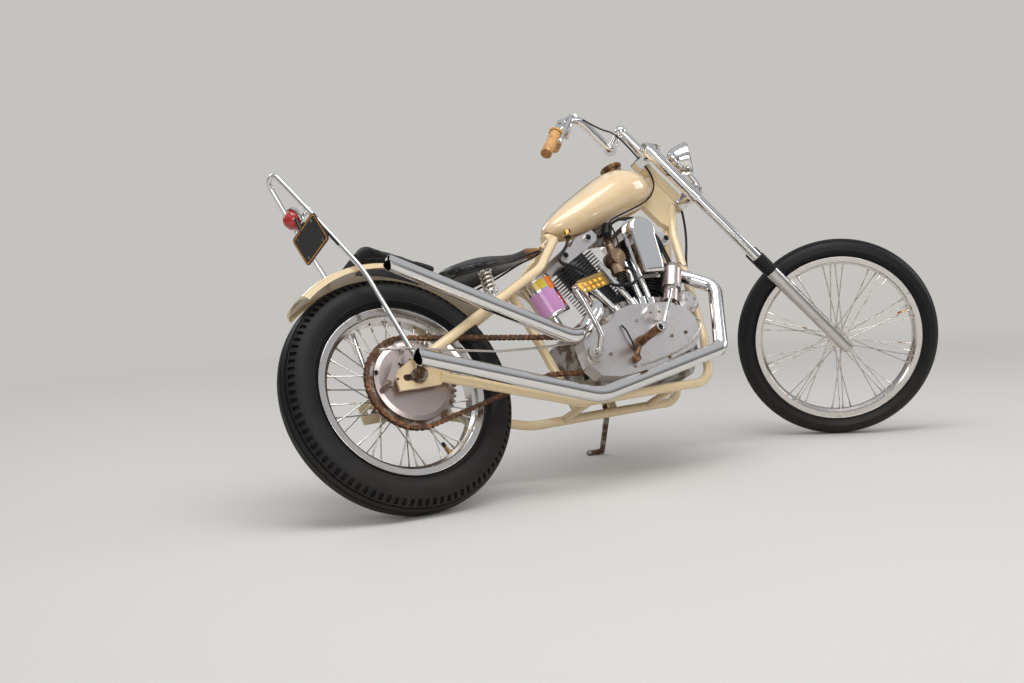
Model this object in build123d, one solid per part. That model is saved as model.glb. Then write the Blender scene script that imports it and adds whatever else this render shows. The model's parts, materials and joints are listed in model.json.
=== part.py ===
from build123d import *
import os
from math import acos, asin, atan2, cos, degrees, hypot, pi, radians, sin, sqrt, tan

# A rigid-frame V-twin chopper standing on its side stand, leaning left, front wheel turned right.
# Everything is first laid out upright: X forward, Y to the rider's left, Z up, with the rear
# tyre's foot at the origin. The front end is then steered, and the whole leaned on to its stand.

# Stance
lean_angle = 26.0
steer_angle = 48.0
rake = 35.5
fork_offset = 55.0
wheelbase = 1693.0
rear_axle_height = 334.0
front_axle_height = 339.0

# Rear wheel
rear_tyre_radius = 340.0
rear_tyre_width = 116.0
rear_crown_radius = 57.0
rear_bead_radius = 229.0
rear_rim_width = 74.0
rear_axle_radius = 9.0
rear_spokes = 40
drum_radius = 104.0
sprocket_teeth = 51
sprocket_thickness = 6.0
chain_line = 88.0
chain_pitch = 15.875
engine_teeth = 22

# Front wheel
front_tyre_radius = 339.0
front_tyre_width = 82.0
front_crown_radius = 40.0
front_bead_radius = 267.0
front_rim_width = 54.0
front_axle_radius = 8.0
front_spokes = 40

rim_lip = 14.5
bearing_gap = 0.05
seat_gap = 0.4
spoke_gap = 0.5

# Fork, measured from the foot of the steering axis
fork_half_spacing = 97.0
fork_tube_radius = 17.0
slider_radius = 22.0
cover_radius = 21.0
slider_top = 340.0
seal_top = 408.0
lower_tree = 707.0
upper_tree = 905.0
cover_top = 926.0
tree_thickness = 30.0
stem_radius = 13.0
head_tube_radius = 24.0
bar_radius = 12.5
grip_radius = 18.0

# Frame
frame_tube_radius = 14.0
backbone_radius = 19.0
rail_height = 221.0
rail_spacing = 85.0
stay_axle_spacing = 128.0
axle_plate_thickness = 8.0

# Engine
crank_x = 875.0
crank_z = 361.0
rear_cylinder_tilt = -28.0
vee_angle = 45.0
deck_height = 150.0
head_height = 296.0
rocker_height = 372.0
rocker_rise = 48.0
fin_radius = 74.0
barrel_radius = 54.0
fin_pitch = 10.0
fin_thickness = 4.0
case_left = 74.0
case_right = -98.0
cover_right = -146.0

# Pipes
pipe_radius = 22.5
pipe_wall = 1.6
pipe_side = -184.0
rear_pipe_side = -174.0

# Fender and oil tank
fender_radius = 374.0
fender_half_width = 76.0
fender_thickness = 2.5
can_radius = 57.0
can_height = 134.0
can_tilt = -19.0

# Side stand
stand_leg_radius = 9.0
stand_pivot = (757.0, 118.0, 240.0)
stand_foot = (872.0, 368.0, 172.0)
toe_length = 48.0

os.makedirs("parts", exist_ok=True)


def rod(start, end, radius, end_radius=None):
    """Round bar or cone between two points."""
    start, end = Vector(*start), Vector(*end)
    along = end - start
    plane = Plane(origin=start, z_dir=along)
    if end_radius is None:
        return plane * Cylinder(radius, along.length, align=(Align.CENTER, Align.CENTER, Align.MIN))
    return plane * Cone(radius, end_radius, along.length, align=(Align.CENTER, Align.CENTER, Align.MIN))


def tube(points, bends, radius):
    """Round bar bent through a row of points, with one bend radius for each corner."""
    path = FilletPolyline(*points, radius=bends)
    start = Plane(origin=path @ 0, z_dir=path % 0)
    return sweep(start * Circle(radius), path=path)


def profile(points):
    """Closed flat outline. A plain point is joined by a line, a (middle, end) pair by an arc."""
    here = points[0]
    edges = []
    for step in points[1:]:
        if isinstance(step[0], tuple):
            edges.append(ThreePointArc(here, step[0], step[1]))
            here = step[1]
        else:
            edges.append(Line(here, step))
            here = step
    if hypot(here[0] - points[0][0], here[1] - points[0][1]) > 0.001:
        edges.append(Line(here, points[0]))
    return Face(Wire(edges))


def turned(points, arc=360.0):
    """Ring about the Y axis from an outline of (y, radius) points."""
    return revolve(Plane.YZ * profile(points), Axis.Y, arc)


def slab(face, side_a, side_b):
    """Plate cut to an outline of (x, z) points, between two lateral positions."""
    plane = Plane(origin=(0, min(side_a, side_b), 0), x_dir=(1, 0, 0), z_dir=(0, -1, 0))
    return extrude(plane * face, amount=abs(side_b - side_a), dir=(0, 1, 0))


def stadium(a, b, radius_a, radius_b):
    """Outline round two circles, wide end and narrow end, in the side view."""
    dx, dz = b[0] - a[0], b[1] - a[1]
    span = hypot(dx, dz)
    turn = acos((radius_a - radius_b) / span)
    base = atan2(dz, dx)

    def on(centre, radius, angle):
        return (centre[0] + radius * cos(angle), centre[1] + radius * sin(angle))

    return profile([
        on(a, radius_a, base + turn),
        (on(a, radius_a, base + pi), on(a, radius_a, base - turn)),
        on(b, radius_b, base - turn),
        (on(b, radius_b, base), on(b, radius_b, base + turn)),
    ])


def mirrored(shape):
    return mirror(shape, about=Plane.XZ)


def pair(shape):
    return shape + mirrored(shape)


# Steering axis: it leans back by the rake and passes behind the front axle by the offset.
rake_sin, rake_cos = sin(radians(rake)), cos(radians(rake))
steer_up = Vector(-rake_sin, 0, rake_cos)
steer_forward = Vector(rake_cos, 0, rake_sin)
front_axle = Vector(wheelbase, 0, front_axle_height)
steer_foot = front_axle - steer_forward * fork_offset
steering_axis = Axis(steer_foot, steer_up)


def on_fork(forward, side, up):
    """Point of the front end: ahead of the steering axis, to the left, and up along it."""
    point = steer_foot + steer_forward * forward + steer_up * up
    return (point.X, side, point.Z)


# Wheels

def tyre(radius, width, crown, bead, rim_width):
    """Solid tyre section: flanks and a round crown, with a corner where it stands when leaning."""
    centre = radius - crown
    bead_half = rim_width / 2 - 6
    outer = [(bead_half, bead), (bead_half, bead + rim_lip + 3), (width / 2, centre - 0.3 * crown)]
    for angle in (2 * lean_angle, lean_angle):
        outer.append((crown * sin(radians(angle)), centre + crown * cos(radians(angle))))
    return turned(outer + [(0, radius)] + [(-across, high) for across, high in reversed(outer)])


def rim(bead, rim_width, well):
    """Drop-centre rim with rolled lips."""
    half = rim_width / 2
    lip = bead + rim_lip
    return turned([
        (-half, lip - 3), ((-half + 1.5, lip), (-half + 3.5, lip - 2)), (-half + 5, bead - seat_gap),
        (-half + 17, bead - seat_gap), (-half + 21, bead - well + 4), (half - 21, bead - well + 4),
        (half - 17, bead - seat_gap), (half - 5, bead - seat_gap), (half - 3.5, lip - 2),
        ((half - 1.5, lip), (half, lip - 3)), (half - 1.5, bead - 4), (half - 13, bead - 7),
        (half - 18, bead - well), (-half + 18, bead - well), (-half + 13, bead - 7), (-half + 1.5, bead - 4),
    ])


def spoke_set(count, flange_radius, flange_side, rim_radius, cross, spoke_radius):
    """Laced spokes: half to each flange, alternately trailing and leading."""
    spokes = []
    step = 360.0 / count
    for number in range(count):
        side = 1 if number % 2 else -1
        lean = 1 if (number // 2) % 2 else -1
        hub_angle = radians(number * step)
        rim_angle = radians(number * step + lean * cross)
        lateral = side * (flange_side + lean * 2.6)
        start = (flange_radius * cos(hub_angle), lateral, flange_radius * sin(hub_angle))
        end = (rim_radius * cos(rim_angle), side * 6.0, rim_radius * sin(rim_angle))
        spokes.append(rod(start, end, spoke_radius))
    return spokes


rear_well = 16.0
rear_tyre = tyre(rear_tyre_radius, rear_tyre_width, rear_crown_radius, rear_bead_radius, rear_rim_width)
rear_rim = rim(rear_bead_radius, rear_rim_width, rear_well)
rear_flange = 42.0
rear_hub = turned([
    (-46, rear_axle_radius + bearing_gap), (62, rear_axle_radius + bearing_gap), (62, 24), (52, 26), (50, 58),
    (36, 58), (34, 34), (-34, 34), (-36, 58), (-46, 58),
])
rear_hub = rear_hub.fuse(*spoke_set(rear_spokes, 50, rear_flange, rear_bead_radius - rear_well - spoke_gap,
                                    34, 1.9))


def sprocket_face(teeth, pitch):
    """Toothed outline: a root and a tip flat for each tooth."""
    pitch_radius = pitch / (2 * sin(pi / teeth))
    root = pitch_radius - 5.0
    tip = pitch_radius + 3.5
    points = []
    for tooth in range(teeth):
        for share, radius in ((0.12, root), (0.30, tip - 1.5), (0.50, tip), (0.70, tip - 1.5), (0.88, root)):
            angle = 2 * pi * (tooth + share) / teeth
            points.append((radius * cos(angle), radius * sin(angle)))
    return profile(points)


sprocket_radius = chain_pitch / (2 * sin(pi / sprocket_teeth))
engine_sprocket_radius = chain_pitch / (2 * sin(pi / engine_teeth))
sprocket_near = -chain_line - sprocket_thickness / 2
sprocket_far = -chain_line + sprocket_thickness / 2
rear_drum = turned([
    (-46.5, rear_axle_radius + bearing_gap), (-46.5, drum_radius - 8), (-52, drum_radius),
    (sprocket_far, drum_radius), (sprocket_far, rear_axle_radius + bearing_gap),
])
rear_drum += slab(sprocket_face(sprocket_teeth, chain_pitch), sprocket_far, sprocket_near)
rear_drum -= rod((0, -110, 0), (0, -40, 0), rear_axle_radius + bearing_gap)

front_well = 14.0
front_tyre = tyre(front_tyre_radius, front_tyre_width, front_crown_radius, front_bead_radius, front_rim_width)
front_rim = rim(front_bead_radius, front_rim_width, front_well)
front_flange = 32.0
front_hub = turned([
    (-50, front_axle_radius + bearing_gap), (50, front_axle_radius + bearing_gap), (50, 17), (38, 19),
    (37, 31),
    (29, 31), (27, 20), (-27, 20), (-29, 31), (-37, 31), (-38, 19), (-50, 17),
])
front_hub = front_hub.fuse(*spoke_set(front_spokes, 26, front_flange,
                                      front_bead_radius - front_well - spoke_gap, 30, 1.8))

rear_lift = Location((0, 0, rear_axle_height))
rear_tyre, rear_rim, rear_hub, rear_drum = [rear_lift * s for s in (rear_tyre, rear_rim, rear_hub, rear_drum)]
front_lift = Location(front_axle)
front_tyre, front_rim, front_hub = [front_lift * s for s in (front_tyre, front_rim, front_hub)]

# Front end

axle_half = fork_half_spacing + 14
slider = rod(on_fork(fork_offset, -fork_half_spacing, -26),
             on_fork(fork_offset, -fork_half_spacing, slider_top),
             slider_radius - 1, slider_radius + 1)
slider += rod(on_fork(fork_offset, -fork_half_spacing, -34), on_fork(fork_offset, -fork_half_spacing, -26),
              slider_radius - 6, slider_radius - 1)
slider -= rod(on_fork(fork_offset, -fork_half_spacing, 60),
              on_fork(fork_offset, -fork_half_spacing, slider_top + 5),
              fork_tube_radius + seat_gap)
fork_sliders = pair(slider)
front_spindle = rod((wheelbase, -axle_half, front_axle_height), (wheelbase, axle_half, front_axle_height),
                    front_axle_radius)
spacer = rod((wheelbase, -fork_half_spacing + slider_radius - 2, front_axle_height),
             (wheelbase, -51.5, front_axle_height), 14)
nut = rod((wheelbase, -axle_half, front_axle_height), (wheelbase, -fork_half_spacing, front_axle_height), 15)
fork_sliders = fork_sliders + front_spindle + pair(spacer) + pair(nut)

seal = rod(on_fork(fork_offset, -fork_half_spacing, slider_top + seat_gap),
           on_fork(fork_offset, -fork_half_spacing, seal_top), slider_radius + 1)
seal -= rod(on_fork(fork_offset, -fork_half_spacing, slider_top - 5),
            on_fork(fork_offset, -fork_half_spacing, seal_top + 5), fork_tube_radius + seat_gap)
fork_seals = pair(seal)

leg = rod(on_fork(fork_offset, -fork_half_spacing, 60 + seat_gap),
          on_fork(fork_offset, -fork_half_spacing, cover_top - 8),
          fork_tube_radius)
leg += rod(on_fork(fork_offset, -fork_half_spacing, lower_tree + tree_thickness / 2 + seat_gap),
           on_fork(fork_offset, -fork_half_spacing, upper_tree - tree_thickness / 2 - seat_gap), cover_radius)
leg += rod(on_fork(fork_offset, -fork_half_spacing, upper_tree + tree_thickness / 2 + seat_gap),
           on_fork(fork_offset, -fork_half_spacing, cover_top), cover_radius)
fork_tubes = pair(leg)


def tree(height):
    """Clamp plate across both legs and the steering stem."""
    plane = Plane(origin=on_fork(0, 0, height - tree_thickness / 2), x_dir=steer_forward, z_dir=steer_up)
    half = fork_half_spacing
    boss = cover_radius + 6
    web = extrude(plane * profile([
        (-26, -30), (-26, 30), (-6, 40), (fork_offset - 20, half), (fork_offset + 20, half),
        (fork_offset + 20, -half), (fork_offset - 20, -half), (-6, -40),
    ]), amount=tree_thickness, dir=steer_up)
    for side in (-half, half):
        web += plane * Pos(fork_offset, side, 0) * Cylinder(boss, tree_thickness,
                                                            align=(Align.CENTER, Align.CENTER, Align.MIN))
    for side in (-half, half):
        web -= plane * Pos(fork_offset, side, -1) * Cylinder(fork_tube_radius + seat_gap, tree_thickness + 2,
                                                             align=(Align.CENTER, Align.CENTER, Align.MIN))
    return web


riser_side = 46.0
bar_forward, bar_height = -34.0, 1009.0
riser_forward, riser_top = 34.0, bar_height + 19
stem = rod(on_fork(0, 0, lower_tree), on_fork(0, 0, upper_tree), stem_radius)
riser = rod(on_fork(riser_forward, -riser_side, upper_tree), on_fork(riser_forward, -riser_side, riser_top),
            15)
riser += Pos(*on_fork(riser_forward, -riser_side, riser_top)) * Sphere(19)
riser += rod(on_fork(riser_forward, -riser_side, riser_top), on_fork(bar_forward, -riser_side, bar_height),
             13)
riser += rod(on_fork(bar_forward, -riser_side - 16, bar_height),
             on_fork(bar_forward, -riser_side + 16, bar_height), 21)
triple_trees = tree(lower_tree) + tree(upper_tree) + stem + pair(riser)
bar_hole = rod(on_fork(bar_forward, -90, bar_height), on_fork(bar_forward, 90, bar_height),
               bar_radius + seat_gap)
triple_trees -= bar_hole

bar_points = [
    (-168, -324, bar_height + 146), (-104, -235, bar_height + 170), (-62, -178, bar_height + 171),
    (bar_forward, -132, bar_height + 142), (bar_forward, -92, bar_height),
]
bar_route = [on_fork(*p) for p in bar_points]
left_route = [(p[0], -p[1], p[2]) for p in reversed(bar_route)]
handlebar = tube(bar_route + left_route, [90, 60, 60, 34, 34, 60, 60, 90], bar_radius)
grip_start = Vector(*bar_route[1])
grip_along = (Vector(*bar_route[0]) - grip_start).normalized()
grip_in = grip_start + grip_along * 16
grip_out = grip_start + grip_along * 128
grip = rod(grip_in, grip_out, grip_radius)
grip += rod(grip_in - grip_along * 3, grip_in + grip_along * 5, grip_radius + 5)
grip -= rod(grip_in - grip_along * 10, grip_out - grip_along * 4, bar_radius + seat_gap)
grips = pair(grip)
perch_at = (Vector(*bar_route[1]) + Vector(*bar_route[2])) * 0.5
perch = rod(perch_at - grip_along * 11, perch_at + grip_along * 11, bar_radius + 6)
perch += rod(perch_at, perch_at + steer_forward * 44, 8)
lever_start = perch_at + steer_forward * 44
lever_end = lever_start + grip_along * 150 + steer_forward * 8
lever = rod(lever_start, lever_end, 7, 5) + Pos(*lever_end) * Sphere(8)
handlebar = handlebar + pair(perch + lever)

# Headlight: a small drum shell on a post ahead of the lower tree

lamp_axis = Vector(0.998, 0, 0.06).normalized()
lamp_at = Vector(*on_fork(98, 0, 818))


def lathe(axis, origin, points):
    """Solid of revolution about an axis, from an outline of (radius, along) points."""
    plane = Plane(origin=origin, x_dir=(0, 1, 0), z_dir=Vector(0, 1, 0).cross(axis))
    return revolve(plane * profile(points), Axis(origin, axis), 360)


headlight = lathe(lamp_axis, lamp_at, [
    (0, -38), (22, -34), ((42, -18), (50, 6)), (50, 14), (55, 14), (55, 30), (50, 30), ((26, 38), (0, 41)),
])
lamp_post_foot = Vector(*on_fork(fork_offset + 20 + seat_gap, 0, lower_tree))
headlight += rod(lamp_post_foot, lamp_post_foot + steer_forward * 14, 12)
headlight += rod(lamp_post_foot + steer_forward * 12, lamp_at, 9)

# Frame

head_low, head_high = 727.0, 885.0
head_tube = rod(on_fork(0, 0, head_low), on_fork(0, 0, head_high), head_tube_radius)
head_bore = rod(on_fork(0, 0, head_low - 20), on_fork(0, 0, head_high + 20), stem_radius + bearing_gap)
seat_joint = (638.0, 0.0, 773.0)
backbone = rod(on_fork(0, 0, 835), seat_joint, backbone_radius)
gusset_corners = [(-10, 840), (-10, 738), (-122, 683), (-138, 719), (-142, 848)]
gusset = slab(profile([on_fork(forward, 0, up)[::2] for forward, up in gusset_corners]), -11, 11)
frame_neck = (head_tube + backbone + gusset) - head_bore

rail_front, rail_rear = crank_x + 25, crank_x - 330
downtube = tube([
    on_fork(-51, -9, 725), on_fork(-148, -20, 667), (crank_x + 177, -rail_spacing, crank_z + 4),
    (crank_x + 137, -rail_spacing, rail_height), (rail_front, -rail_spacing, rail_height),
], [260, 200, 70], frame_tube_radius)
frame_downtubes = pair(downtube) - frame_neck
rail = rod((rail_front - seat_gap, -rail_spacing, rail_height), (rail_rear, -rail_spacing, rail_height - 7),
           frame_tube_radius)
front_cross = rail_front - 20
cross_tube = rod((front_cross, -rail_spacing, rail_height), (front_cross, rail_spacing, rail_height),
                 frame_tube_radius - 3)
rear_cross = (rail_rear + 11, 0.0, rail_height - 6)
cross_tube += rod((rear_cross[0], -rail_spacing, rear_cross[2]), (rear_cross[0], rail_spacing, rear_cross[2]),
                  frame_tube_radius - 3)
frame_lower_rails = pair(rail) + cross_tube

stay_low = (66.0, stay_axle_spacing, rear_axle_height - 7)
stay_high = (62.0, stay_axle_spacing, rear_axle_height + 66)
stay_knee = (533.0, 76.0, 648.0)
stay_tip = (644.0, 38.0, 757.0)
plate_outline = [
    # x, height above the axle
    (-62, -34), (-66, 18), (20, 64), (62, 82), (96, -4), (60, -30),
]


def side_stays(side):
    lower = tube([
        (rail_rear - seat_gap, side * rail_spacing, rail_height - 7),
        (rail_rear - 34, side * rail_spacing, rail_height - 7.7),
        (rail_rear - 83, side * 111, rail_height - 3), (stay_low[0], side * stay_axle_spacing, stay_low[2]),
    ], [60, 150], frame_tube_radius)
    corners = [(x, rear_axle_height + up) for x, up in plate_outline]
    plate = slab(profile(corners), side * stay_axle_spacing - axle_plate_thickness / 2,
                 side * stay_axle_spacing + axle_plate_thickness / 2)
    slot = slab(stadium((-34, rear_axle_height), (18, rear_axle_height), 9.6, 9.6),
                side * stay_axle_spacing - 20, side * stay_axle_spacing + 20)
    lower = (lower + plate) - slot
    upper = tube([
        (stay_high[0], side * stay_axle_spacing, stay_high[2]),
        (stay_knee[0], side * stay_knee[1], stay_knee[2]),
        (stay_tip[0], side * stay_tip[1], stay_tip[2]),
    ], [150], frame_tube_radius)
    upper -= lower
    return lower, upper


chain_stay_right, seat_stay_right = side_stays(-1)
chain_stay_left, seat_stay_left = mirrored(chain_stay_right), mirrored(seat_stay_right)
post_top = (456.0, 0.0, 607.0)
tip_tube = rod((stay_tip[0] - 4, -stay_tip[1], stay_tip[2]), (stay_tip[0] - 4, stay_tip[1], stay_tip[2]),
               frame_tube_radius)
seat_post = rod(post_top, rear_cross, frame_tube_radius)
seat_post += rod((post_top[0], -84, post_top[2]), (post_top[0], 84, post_top[2]), frame_tube_radius - 2)
seat_post -= frame_lower_rails
frame_seat_post = seat_post + (tip_tube - frame_neck)
frame_seat_post = frame_seat_post - seat_stay_right - seat_stay_left

# Engine

def on_engine(tilt, across, side, up):
    """Point of a cylinder: across its axis towards the front, to the left, up from the crank."""
    t = radians(tilt)
    return (crank_x + up * sin(t) + across * cos(t), side, crank_z + up * cos(t) - across * sin(t))


front_cylinder_tilt = rear_cylinder_tilt + vee_angle


def cylinder(tilt):
    """Finned iron barrel and head turned about the cylinder axis."""
    comb = [(0, deck_height), (barrel_radius, deck_height)]
    level = deck_height + 8
    while level < rocker_height - fin_pitch:
        reach = fin_radius if level > 192 else barrel_radius + (level - 140) * 0.22
        if level > head_height:
            reach = fin_radius + 6
        comb += [(barrel_radius, level), (reach, level), (reach, level + fin_thickness),
                 (barrel_radius, level + fin_thickness)]
        level += fin_pitch
    comb += [(barrel_radius, rocker_height), (0, rocker_height)]
    axis = Vector(sin(radians(tilt)), 0, cos(radians(tilt)))
    plane = Plane(origin=(crank_x, 0, crank_z), x_dir=(cos(radians(tilt)), 0, -sin(radians(tilt))),
                  z_dir=(0, -1, 0))
    return revolve(plane * profile(comb), Axis((crank_x, 0, crank_z), axis), 360)


def rocker_box(tilt, facing):
    """Rocker cover: two shaft bosses with a waist between them, right side bolts showing."""
    low = rocker_height + seat_gap
    outline = [
        # across the cylinder from the exhaust side, above the head
        (-66, 0), (-85, 24), (-74, 40), (-32, 45), (-16, 34), (24, rocker_rise), (98, 36), (101, 13), (84, 0),
    ]
    points = [on_engine(tilt, facing * across, 0, low + up)[::2] for across, up in outline]
    box = slab(profile(points), -74, 62)
    for across in (-60, 60):
        boss = on_engine(tilt, facing * across, -74, low + 24)
        box += rod(boss, (boss[0], -82, boss[2]), 11)
    return box


rear_port = (664.0, -62.0, 566.0)
front_port = (1030.0, -64.0, 606.0)
port_radius = 27.0
cylinders = cylinder(rear_cylinder_tilt) + cylinder(front_cylinder_tilt)
cylinders += rod(on_engine(rear_cylinder_tilt, -35, -30, 300), rear_port, port_radius)
cylinders += rod(on_engine(front_cylinder_tilt, 35, -30, 300), front_port, port_radius)
rocker_boxes = rocker_box(rear_cylinder_tilt, 1) + rocker_box(front_cylinder_tilt, -1)

case_outline = [
    (566, 282), (600, 248), (950, 252), (1000, 320), (1004, 420), (968, 482), (930, 512), (800, 512),
    (722, 500),
    (640, 476), (572, 430),
]
crankcase = slab(profile(case_outline), case_right, case_left)
for tilt in (rear_cylinder_tilt, front_cylinder_tilt):
    neck = rod(on_engine(tilt, 0, 0, 40), on_engine(tilt, 0, 0, deck_height - seat_gap), barrel_radius + 12)
    crankcase += neck
    crankcase -= rod(on_engine(tilt, 0, 0, deck_height - seat_gap), on_engine(tilt, 0, 0, deck_height + 120),
                     fin_radius + 8)

engine_sprocket_at = (642.0, 350.0)
pocket = slab(stadium(engine_sprocket_at, (430, 350), 70, 70), case_right - 1, -chain_line + 20)
crankcase -= pocket
crankcase += rod((engine_sprocket_at[0], -chain_line - 3, engine_sprocket_at[1]),
                 (engine_sprocket_at[0], -chain_line + 22, engine_sprocket_at[1]), 18)
crankcase += Pos(engine_sprocket_at[0], 0, engine_sprocket_at[1]) * slab(
    sprocket_face(engine_teeth, chain_pitch), -chain_line - 3, -chain_line + 3)

cover_outline = [
    (547, 378), (545, 350), (548, 300), (575, 266), (640, 256), (760, 268), (945, 318), (988, 360),
    (990, 415),
    (965, 452), (910, 474), (770, 478), (700, 462), (668, 430), (640, 421), (600, 410), (560, 396),
]
gearcase_cover = slab(profile(cover_outline), cover_right, case_right - seat_gap)
gearcase_cover += rod((829, cover_right - 14, 439), (829, cover_right + 2, 439), 28)
gearcase_cover += rod((832, cover_right - 22, 388), (832, cover_right + 2, 388), 15)
gearcase_cover += rod((569, cover_right - 16, 330), (569, cover_right + 2, 330), 26)
primary_cover = slab(stadium((690, 345), (crank_x, crank_z), 84, 80), case_left + seat_gap, case_left + 62)

mag_low = Vector(938, -118, 482)
mag_high = Vector(1006, -108, 609)
magneto = rod(mag_low, mag_low + (mag_high - mag_low) * 0.35, 24)
magneto += rod(mag_low + (mag_high - mag_low) * 0.35, mag_low + (mag_high - mag_low) * 0.86, 31)
magneto += rod(mag_low + (mag_high - mag_low) * 0.86, mag_high, 31, 22)
mag_seat = rod(mag_low, mag_high, 24 + seat_gap)
gearcase_cover -= mag_seat
crankcase -= mag_seat
generator_at = (1021.0, 486.0)
generator_radius = 38.0
generator = rod((generator_at[0], -108, generator_at[1]), (generator_at[0], 40, generator_at[1]),
                generator_radius)
generator += rod((generator_at[0], -108, generator_at[1]), (generator_at[0], -120, generator_at[1]),
                 generator_radius, generator_radius - 12)
generator = generator - crankcase

pushrods = [
    ((737, 464), (683, 572)), ((806, 482), (742, 640)), ((836, 482), (842, 640)), ((868, 478), (880, 655)),
]
pushrod_tubes = None
for foot, head in pushrods:
    along = (Vector(head[0], 0, head[1]) - Vector(foot[0], 0, foot[1])).normalized()
    start = Vector(foot[0], -112, foot[1])
    one = rod(start, (head[0], -88, head[1]), 9) + rod(start, start + along * 26, 13)
    pushrod_tubes = one if pushrod_tubes is None else pushrod_tubes + one
pushrod_tubes = pushrod_tubes - gearcase_cover - crankcase - cylinders - rocker_boxes

carb_at = Vector(806, -92, 655)
carburettor = rod(carb_at + Vector(0, 26, 0), carb_at + Vector(0, -22, 0), 27)
carburettor += rod(carb_at + Vector(0, 2, -20), carb_at + Vector(0, 2, -52), 24)
carburettor += rod(carb_at + Vector(0, 2, 20), carb_at + Vector(0, 2, 48), 14)
carburettor = carburettor - pushrod_tubes
air_cover = slab(profile([
    (860, 578), (936, 580), (943, 606), (949, 700), ((905, 773), (860, 712)), (860, 650),
]), -153, -113)
air_cover = fillet(air_cover.faces().sort_by(Axis.Y)[0].edges(), 12)
air_cover += slab(profile([
    (855, 572), (940, 574), (949, 604), (955, 700), ((905, 780), (854, 712)), (854, 650),
]), -113, -108.6)

engine_mount = slab(profile([(776, 752), (780, 738), (900, 746), (898, 764), (884, 858), (862, 850)]), -4, 4)
engine_mount = engine_mount - rocker_boxes - frame_neck

# Pipes, each a bent tube open at its slashed end

def pipe(points, bends, slash):
    path = FilletPolyline(*points, radius=bends)
    start = Plane(origin=path @ 0, z_dir=path % 0)
    body = sweep(start * Circle(pipe_radius), path=path)
    tail_path = Line(points[-2], points[-1])
    tail = Plane(origin=tail_path @ 1, z_dir=tail_path % 1)
    bore = tail * Cylinder(pipe_radius - pipe_wall, 120, align=(Align.CENTER, Align.CENTER, Align.MAX))
    body -= bore
    cutter = tail * Rot(0, slash, 0) * Box(200, 200, 80, align=(Align.CENTER, Align.CENTER, Align.MIN))
    return body - cutter


exhaust_rear = pipe([
    rear_port, (648, -104, 522), (624, -160, 466), (512, rear_pipe_side, 372), (-22, rear_pipe_side, 653),
], [50, 60, 70], 35)
exhaust_front = pipe([
    front_port, (1058, -108, 560), (1116, -142, 512), (1010, pipe_side, 292), (516, pipe_side, 196),
    (-18, pipe_side, 371),
], [30, 42, 38, 140], 35)
port_faces = rod(on_engine(rear_cylinder_tilt, -35, -30, 300), rear_port, port_radius + 8)
port_faces += rod(on_engine(front_cylinder_tilt, 35, -30, 300), front_port, port_radius + 8)
exhaust_rear = exhaust_rear - port_faces
exhaust_front = exhaust_front - port_faces

# Tank: peanut shell lofted through ellipses square to its own axis, tunnelled for the backbone

bone_low, bone_high = Vector(*seat_joint), Vector(*on_fork(0, 0, 835))
bone_length = (bone_high - bone_low).length
bone_along = (bone_high - bone_low).normalized()
tank_tail = bone_low + Vector(14, 0, 11)
tank_slope = degrees(atan2(bone_along.Z, bone_along.X)) - 6.15
tank_along = Vector(cos(radians(tank_slope)), 0, sin(radians(tank_slope)))
tank_stations = [
    # share of the backbone, half width, half height, rise of the centre
    (0, 18, 12, 16), (0.028, 38, 26, 16), (0.106, 60, 44, 18), (0.247, 82, 62, 25), (0.414, 97, 74, 36),
    (0.573, 102, 80, 46), (0.679, 95, 76, 44), (0.762, 74, 60, 34), (0.808, 48, 40, 24), (0.829, 24, 20, 16),
]
tank_up = Vector(-sin(radians(tank_slope)), 0, cos(radians(tank_slope)))
sections = []
for share, half_width, half_height, rise in tank_stations:
    centre = tank_tail + tank_along * share * bone_length + tank_up * rise
    across = Plane(origin=centre, x_dir=(0, 1, 0), z_dir=tank_along)
    sections.append(across * Ellipse(half_width, half_height))
tank = loft(sections)
tunnel = backbone_radius + 3
bone_a = bone_low - bone_along * 120
bone_b = bone_high + bone_along * 60
tank -= rod(bone_a, bone_b, tunnel)
tank -= slab(profile([
    (bone_a.X, bone_a.Z), (bone_b.X, bone_b.Z), (bone_b.X, bone_b.Z - 300), (bone_a.X, bone_a.Z - 300),
]), -tunnel, tunnel)
cap_at = tank_tail + tank_along * 0.707 * bone_length + tank_up * 122
tank_cap = rod(cap_at - tank_up * 8, cap_at + tank_up * 10, 27)
tank_cap = tank_cap - tank

# Seat, pillion pad, fender

seat_edge = 18.0
seat_hollow = 0.8
seat_stations = [
    # x, half width, top of the edge, top of the crown
    (222, 62, 656, 684), (262, 106, 652, 694), (310, 116, 657, 706), (360, 106, 669, 714),
    (420, 80, 686, 718),
    (485, 52, 708, 724), (545, 33, 734, 742), (602, 22, 748, 753),
]
sections = []
for x, half, edge, crown in seat_stations:
    sections.append(Plane(origin=(x, 0, 0), x_dir=(0, 1, 0), z_dir=(1, 0, 0)) * profile([
        (-half, edge - seat_edge), (-half, edge), ((0, crown), (half, edge)), (half, edge - seat_edge),
        ((0, edge - seat_edge + (crown - edge) * seat_hollow), (-half, edge - seat_edge)),
    ]))
seat = loft(sections)
nose_bolt = (607.0, 746.0)
seat_bracket = rod((nose_bolt[0], -24, nose_bolt[1]), (nose_bolt[0], 24, nose_bolt[1]), 7)
seat_bracket += rod((nose_bolt[0], 0, nose_bolt[1]), (stay_tip[0] - 4, 0, stay_tip[2]), 8)
frame_seat_post += seat_bracket - frame_neck
seat -= seat_bracket

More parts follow.
